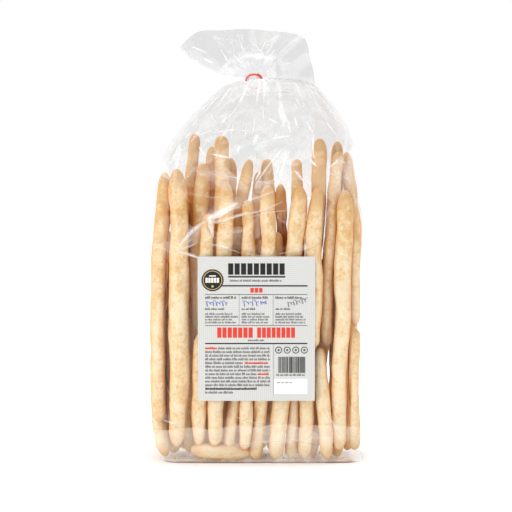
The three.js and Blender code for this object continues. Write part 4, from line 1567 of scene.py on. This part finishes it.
def label_print(rng):
    """Every printed bar of the label, by ink: (left, top, right, bottom) in label mm."""
    left, right = TEXT_ENDS
    black = title_blocks(23.4, 67.6, 5.2, 14.0, 9)
    black += [(23.4, 15.0, 67.2, 16.2), (16.8, 22.0, right, 23.1), (left, 29.0, right, 29.4)]
    black += small_print(rng, 24.6, 64.6, 17.7, 1.6, 8.0)
    black += [(31.7, 29.4, 31.9, 52.9), (57.8, 29.4, 58.0, 52.9)]
    grey = []
    for start, end in ((left, 29.5), (33.6, 54.0), (59.6, 80.0)):
        black += small_print(rng, start, end, 30.5, 2.1, 9.0)
        black += small_print(rng, start, end - 9, 39.6, 1.6)
        for line in range(4):
            short = rng.uniform(0, 6)
            grey += small_print(rng, start, end + 3 - short, 43.4 + 2.2 * line, 1.6)
    black += [(left, 53.1, right, 53.5), (left, 66.8, right, 67.8)]
    red = title_blocks(14.9, 43.0, 54.8, 62.8, 7) + title_blocks(45.6, 75.4, 54.8, 62.8, 8)
    red += title_blocks(40.4, 50.4, 24.2, 27.8, 3)
    black += small_print(rng, 38.5, 50.9, 64.0, 1.4, 9.0)
    for line in range(13):
        top = LINES_TOP + LINE_PITCH * line
        heavy = line == HEAVY_LINE
        (black if heavy else grey).extend(small_print(
            rng, 15.6 if line == 0 else left, SHORT_LINES.get(line, 55.5), top, LINE_HEIGHT))
        if heavy:
            black.append((left, top + 0.9, 44.0, top + 1.7))
    red += small_print(rng, left, 14.8, 69.7, 2.1, 9.0) + [(left, 70.6, 14.8, 71.5)]
    for start, end, line in ((36.0, 54.0, 4), (46.0, 54.5, 7)):
        top = LINES_TOP + LINE_PITCH * line
        red += small_print(rng, start, end, top, LINE_HEIGHT, 9.0) + [(start, top + 0.9, end, top + 1.7)]
    black += [(58.1, 67.8, 58.3, 107.0)]
    x = 61.7
    while x < 82.2:
        width = rng.choice([0.4, 0.4, 0.7, 1.0])
        black.append((x, 77.6, x + width, 90.2))
        x += width + rng.choice([0.28, 0.28, 0.55])
    black += small_print(rng, 60.4, 83.0, 90.9, 1.6, 4.0)
    black += small_print(rng, 61.0, 73.0, 97.0, 1.3)
    return {"black": black, "grey": grey, "red": red, "white": [(58.6, 94.9, right, 106.6)]}


def scribble(left, right, middle, height, loops, rise=0.0):
    """A looping pen stroke that stands for handwriting, as points in label mm."""
    turn = np.linspace(0, 2 * math.pi * loops, 9 * loops)
    share = turn / turn[-1]
    tall = height * (0.62 + 0.38 * np.sin(turn * 0.37 + 1))
    x = left + (right - left) * share + 0.9 * np.sin(turn)
    y = middle - rise * share - tall / 2 * np.cos(turn + 0.5)
    return np.stack([x, y], 1)


PEN_STROKES = [scribble(6.0, 23.0, 36.2, 4.6, 7), scribble(34.2, 47.0, 36.0, 5.4, 4),
               scribble(47.8, 53.0, 35.6, 2.6, 3)]
GREY_STROKES = [scribble(68.6, 83.5, 37.0, 4.4, 7, 3.4), [(80.0, 33.6), (84.4, 31.4)]]
SEAL = (11.4, 18.3)
ICONS = [(62.1 + 6.6 * k, 72.4) for k in range(4)]


def joined(patches):
    """Several patches as one list of points and one of faces."""
    points, faces = [], []
    for patch_points, patch_faces in patches:
        offset = sum(len(p) for p in points)
        points.append(patch_points)
        faces.extend((np.asarray(patch_faces) + offset).tolist())
    return np.concatenate(points), faces


class GRISSINI_OT_label(bpy.types.Operator):
    """Make the paper label and its print"""

    bl_idname = "grissini.label"
    bl_label = "Label"

    def execute(self, context):
        settings = context.scene.grissini_label
        rng = np.random.default_rng(settings.seed)
        self.make_sheet(settings)
        bars = label_print(rng)
        patches = {ink: [sheet_grid(*bar, BAR_STEP, PRINT_LIFT) for bar in bars[ink]] for ink in bars}
        patches["black"].append(disc_patch(SEAL, 0.0, 8.5))
        for x, y in ICONS:
            patches["black"].append(disc_patch((x, y), 2.05, 2.7))
            patches["grey"].append(disc_patch((x, y), 0.0, 0.9))
        x, y = SEAL  # a gold ring and dot, and cream blocks across the middle
        patches["gold"] = [disc_patch(SEAL, 6.9, 7.4), disc_patch((x, y + 4.7), 0.0, 0.9)]
        words = [(x - 2.6, y - 3.8, x + 2.6, y - 2.9)] + title_blocks(x - 5.4, x + 5.4, y - 1.9, y + 1.9, 5)
        patches["cream"] = [sheet_grid(*word, BAR_STEP, PRINT_LIFT) for word in words]
        patches["blue"] = [stroke_patch(stroke, 0.55) for stroke in PEN_STROKES]
        patches["pencil"] = [stroke_patch(stroke, 0.45) for stroke in GREY_STROKES]
        for ink, group in patches.items():
            points, faces = joined(group)
            points[:, 1] -= INK_LAYERS.get(ink, 0) * PRINT_LIFT
            material = make_ink(f"ink_{ink}", tuple(getattr(settings, ink)))
            settle(new_piece(f"print_{ink}", points, faces, material, smooth=False), "label")
        return {"FINISHED"}

    def make_sheet(self, settings):
        """The paper itself, with a back and thin sides."""
        front, faces = sheet_grid(0.0, 0.0, LABEL_WIDTH, LABEL_HEIGHT, PAPER_STEP, 0.0)
        back = front + np.array([0.0, PAPER_THICKNESS, 0.0])
        columns = int(math.ceil(LABEL_WIDTH / PAPER_STEP)) + 1
        rows = len(front) // columns
        index = np.arange(rows * columns).reshape(rows, columns)
        ring = np.concatenate([index[0, :-1], index[:-1, -1], index[-1, :0:-1], index[:0:-1, 0]])
        beside = np.roll(ring, -1)
        sides = np.stack([ring, beside, beside + len(front), ring + len(front)], 1)
        everything = faces.tolist() + (faces[:, ::-1] + len(front)).tolist() + sides.tolist()
        sheet = new_piece("label_sheet", np.concatenate([front, back]), everything, make_paper(settings),
                          smooth=False)
        settle(sheet, "label")


# ============================== the tie


def tube(path, radius, sides=12):
    """Points and faces of a closed tube along a path, in mm."""
    path = np.asarray(path, float)
    along = np.gradient(path, axis=0)
    along /= np.linalg.norm(along, axis=1, keepdims=True)
    across = np.cross(along[0], [0.31, 0.2, 0.93])
    angles = np.linspace(0, 2 * math.pi, sides, endpoint=False)
    rings = []
    for point, way in zip(path, along):
        across = across - way * across.dot(way)
        across = across / np.linalg.norm(across)
        beside = np.cross(way, across)
        rings.append(point + radius * (np.cos(angles)[:, None] * across + np.sin(angles)[:, None] * beside))
    first = rings[0].mean(0) + 0 * rings[0]
    last = rings[-1].mean(0) + 0 * rings[-1]
    rings = [first + (rings[0] - first) * 0.6 - along[0] * radius * 0.4, *rings,
             last + (rings[-1] - last) * 0.6 + along[-1] * radius * 0.4]
    quads = ring_faces(len(rings), sides)
    quads.append(list(range(sides))[::-1])
    quads.append(list(range((len(rings) - 1) * sides, len(rings) * sides)))
    return np.concatenate(rings), quads


class GRISSINI_OT_tie(bpy.types.Operator):
    """Make the coated wire wound round the neck"""

    bl_idname = "grissini.tie"
    bl_label = "Tie"

    def execute(self, context):
        settings = context.scene.grissini_tie
        wire = settings.wire / MM / 2
        ring = NECK_RADIUS + TIE_GAP + wire
        out = np.array([1.0, 0.0, 0.0])
        turns = np.linspace(0, 1, 70)[:, None]
        angle = 2 * math.pi * TIE_TURNS * turns + TIE_START
        loop = (NECK_CENTRE + ring * np.cos(angle) * out + ring * np.sin(angle) * NECK_FRONT
                + (turns - 0.5) * TIE_RISE * NECK_AXIS)
        knot = NECK_CENTRE + (ring + 2.2) * out + 2.0 * NECK_FRONT - 0.5 * NECK_AXIS
        points, faces = tube(np.concatenate([[knot - 2.2 * NECK_AXIS + 0.8 * out, knot], loop]), wire)
        settle(new_piece("tie_wire", points, faces, make_coating(settings)), "tie")
        return {"FINISHED"}


# ============================== crumbs


def make_crumb_nodes():
    """Scatters crumbs over small patches on the base."""
    tree, inputs, outputs = new_node_tree("Crumbs", [
        ("Density", "NodeSocketFloat"), ("Size", "NodeSocketFloat"), ("Seed", "NodeSocketInt"),
        ("Material", "NodeSocketMaterial")])
    points = add_node(tree, "GeometryNodeDistributePointsOnFaces", {
        "Mesh": inputs["Geometry"], "Density": inputs["Density"], "Seed": inputs["Seed"]}).outputs["Points"]
    crumb = add_node(tree, "GeometryNodeMeshIcoSphere", {"Radius": inputs["Size"], "Subdivisions": 2})
    position = add_node(tree, "GeometryNodeInputPosition").outputs[0]
    lumps = maths(tree, "SUBTRACT", noise(tree, position, 900.0, 1.0), 0.5)
    normal = add_node(tree, "GeometryNodeInputNormal").outputs[0]
    offset = scaled(tree, normal, product(tree, lumps, product(tree, inputs["Size"], 2.0)))
    crumb = add_node(tree, "GeometryNodeSetPosition",
                     {"Geometry": crumb.outputs["Mesh"], "Offset": offset}).outputs[0]
    turn, scale = (
        add_node(tree, "FunctionNodeRandomValue", {0: low, 1: high, "Seed": inputs["Seed"]},
                 data_type="FLOAT_VECTOR").outputs[0]
        for low, high in (((0.0, 0.0, 0.0), (6.2, 6.2, 6.2)), ((0.35, 0.35, 0.25), (1.0, 1.0, 0.8))))
    placed = add_node(tree, "GeometryNodeInstanceOnPoints", {
        "Points": points, "Instance": crumb, "Rotation": turn, "Scale": scale}).outputs[0]
    real = add_node(tree, "GeometryNodeRealizeInstances", {"Geometry": placed}).outputs[0]
    position = add_node(tree, "GeometryNodeInputPosition").outputs[0]
    real = stored(tree, real, "grain", position, "FLOAT_VECTOR")
    # The crumbs get a little of the painted shade of the gaps too.
    for name, value in (("bake", 0.6), ("tip", 0.0), ("crevice", 0.15)):
        real = stored(tree, real, name, value)
    done = add_node(tree, "GeometryNodeSetMaterial", {"Geometry": real, "Material": inputs["Material"]})
    tree.links.new(done.outputs[0], outputs[0])
    return tree


# Patches of the base where crumbs gather: x, y, half width, half depth and height, in mm.
CRUMB_PATCHES = [(-63, -18, 9, 4, 2.0), (-27, -21, 16, 3, 1.6), (18, -21, 26, 3, 1.4), (66, -18, 10, 4, 2.0),
                 (0, 0, 60, 8, 1.4), (40, -12, 26, 5, 1.6)]


class GRISSINI_OT_crumbs(bpy.types.Operator):
    """Make the crumbs that have gathered on the base"""

    bl_idname = "grissini.crumbs"
    bl_label = "Crumbs"

    def execute(self, context):
        points, faces = [], []
        for x, y, half_width, half_depth, height in CRUMB_PATCHES:
            faces.append([len(points) + k for k in range(4)])
            points += [(x - half_width, y - half_depth, height), (x + half_width, y - half_depth, height),
                       (x + half_width, y + half_depth, height), (x - half_width, y + half_depth, height)]
        crust = bpy.data.materials["crust"]
        patches = new_piece("patches", points, faces, crust)
        settings = context.scene.grissini_sticks
        piece = run_nodes(make_crumb_nodes(), patches, "crumbs", {
            "Density": settings.crumb_density, "Size": settings.crumb_size, "Seed": settings.seed,
            "Material": crust})
        settle(piece, "bag")
        return {"FINISHED"}


# ============================== the stage


def add_softbox(name, place, aim, size, power):
    """An area light at place that faces aim."""
    data = bpy.data.lights.new(name, "AREA")
    data.shape = "RECTANGLE"
    data.size, data.size_y = size
    data.energy = power
    softbox = show(name, data)
    softbox.location = place
    softbox.rotation_euler = (Vector(aim) - Vector(place)).to_track_quat("-Z", "Y").to_euler()


def make_world(settings):
    """White behind the bag, and a dimmer room in front for the film to mirror."""
    world = bpy.data.worlds.new("studio")
    world.use_nodes = True
    tree = world.node_tree
    tree.nodes.clear()
    way = add_node(tree, "ShaderNodeTexCoord").outputs["Generated"]
    split = add_node(tree, "ShaderNodeSeparateXYZ", {0: way}).outputs
    behind = map_range(tree, split[1], -0.25, 0.35)
    above = map_range(tree, split[2], 0.2, 0.9)
    bright = maths(tree, "MAXIMUM", behind, product(tree, above, 0.9))
    path = add_node(tree, "ShaderNodeLightPath").outputs
    front = maths(tree, "MULTIPLY_ADD", path["Is Glossy Ray"], settings.mirrored - settings.room,
                  settings.room)
    strength = map_range(tree, bright, 0.0, 1.0, front, 1.0)
    strength = maths(tree, "MAXIMUM", strength, path["Is Camera Ray"])
    background = add_node(tree, "ShaderNodeBackground", {"Color": (1.0, 1.0, 1.0, 1.0),
                                                         "Strength": strength}).outputs[0]
    add_node(tree, "ShaderNodeOutputWorld", {"Surface": background})
    bpy.context.scene.world = world


class GRISSINI_OT_stage(bpy.types.Operator):
    """Make the floor, the lights, the room and the camera"""

    bl_idname = "grissini.stage"
    bl_label = "Stage"

    def execute(self, context):
        scene = context.scene
        settings = scene.grissini_stage
        corners = [(-FLOOR, -FLOOR, 0), (FLOOR, -FLOOR, 0), (FLOOR, FLOOR, 0), (-FLOOR, FLOOR, 0)]
        new_piece("floor", corners, [[0, 1, 2, 3]], make_floor_material(settings), smooth=False)
        for name, place, size in SOFTBOXES:
            add_softbox(f"{name}_softbox", place, LIGHTS_AIM, size, getattr(settings, f"{name}_light"))
        make_world(settings)
        data = bpy.data.cameras.new("camera")
        data.lens = CAMERA_LENS
        data.sensor_width = SENSOR_WIDTH
        camera = show("camera", data)
        target = Vector(CAMERA_TARGET)
        camera.location = target + CAMERA_DISTANCE * Vector(
            (0.0, -math.cos(CAMERA_PITCH), math.sin(CAMERA_PITCH)))
        camera.rotation_euler = (target - camera.location).to_track_quat("-Z", "Y").to_euler()
        scene.camera = camera
        scene.view_settings.view_transform = "Standard"
        scene.cycles.transparent_max_bounces = 32
        return {"FINISHED"}


# ============================== the add-on


class GRISSINI_PT_panel(bpy.types.Panel):
    """Lists the pieces of the bag."""

    bl_idname = "GRISSINI_PT_panel"
    bl_label = "Bag of Grissini"
    bl_space_type = "VIEW_3D"
    bl_region_type = "UI"
    bl_category = "Grissini"

    def draw(self, context):
        layout = self.layout
        for operator in OPERATORS:
            layout.operator(operator.bl_idname)
        for name, group in SETTINGS.items():
            box = layout.box()
            for prop in group.__annotations__:
                box.prop(getattr(context.scene, name), prop)


OPERATORS = (GRISSINI_OT_stage, GRISSINI_OT_sticks, GRISSINI_OT_crumbs, GRISSINI_OT_film,
             GRISSINI_OT_label, GRISSINI_OT_tie)
SETTINGS = {
    "grissini_sticks": GrissiniStickSettings,
    "grissini_film": GrissiniFilmSettings,
    "grissini_label": GrissiniLabelSettings,
    "grissini_tie": GrissiniTieSettings,
    "grissini_stage": GrissiniStageSettings,
}


def register():
    """Adds the settings, the operators and the panel to Blender."""
    for name, group in SETTINGS.items():
        bpy.utils.register_class(group)
        setattr(bpy.types.Scene, name, PointerProperty(type=group))
    for operator in OPERATORS:
        bpy.utils.register_class(operator)
    bpy.utils.register_class(GRISSINI_PT_panel)


def unregister():
    """Takes them away again."""
    bpy.utils.unregister_class(GRISSINI_PT_panel)
    for operator in reversed(OPERATORS):
        bpy.utils.unregister_class(operator)
    for name, group in SETTINGS.items():
        delattr(bpy.types.Scene, name)
        bpy.utils.unregister_class(group)


def main():
    """Builds everything."""
    register()
    make_mottle_group()
    make_crumple_group()
    bpy.ops.grissini.stage()
    bpy.ops.grissini.sticks()
    bpy.ops.grissini.crumbs()
    bpy.ops.grissini.film()
    bpy.ops.grissini.label()
    bpy.ops.grissini.tie()


if __name__ == "__main__":
    main()
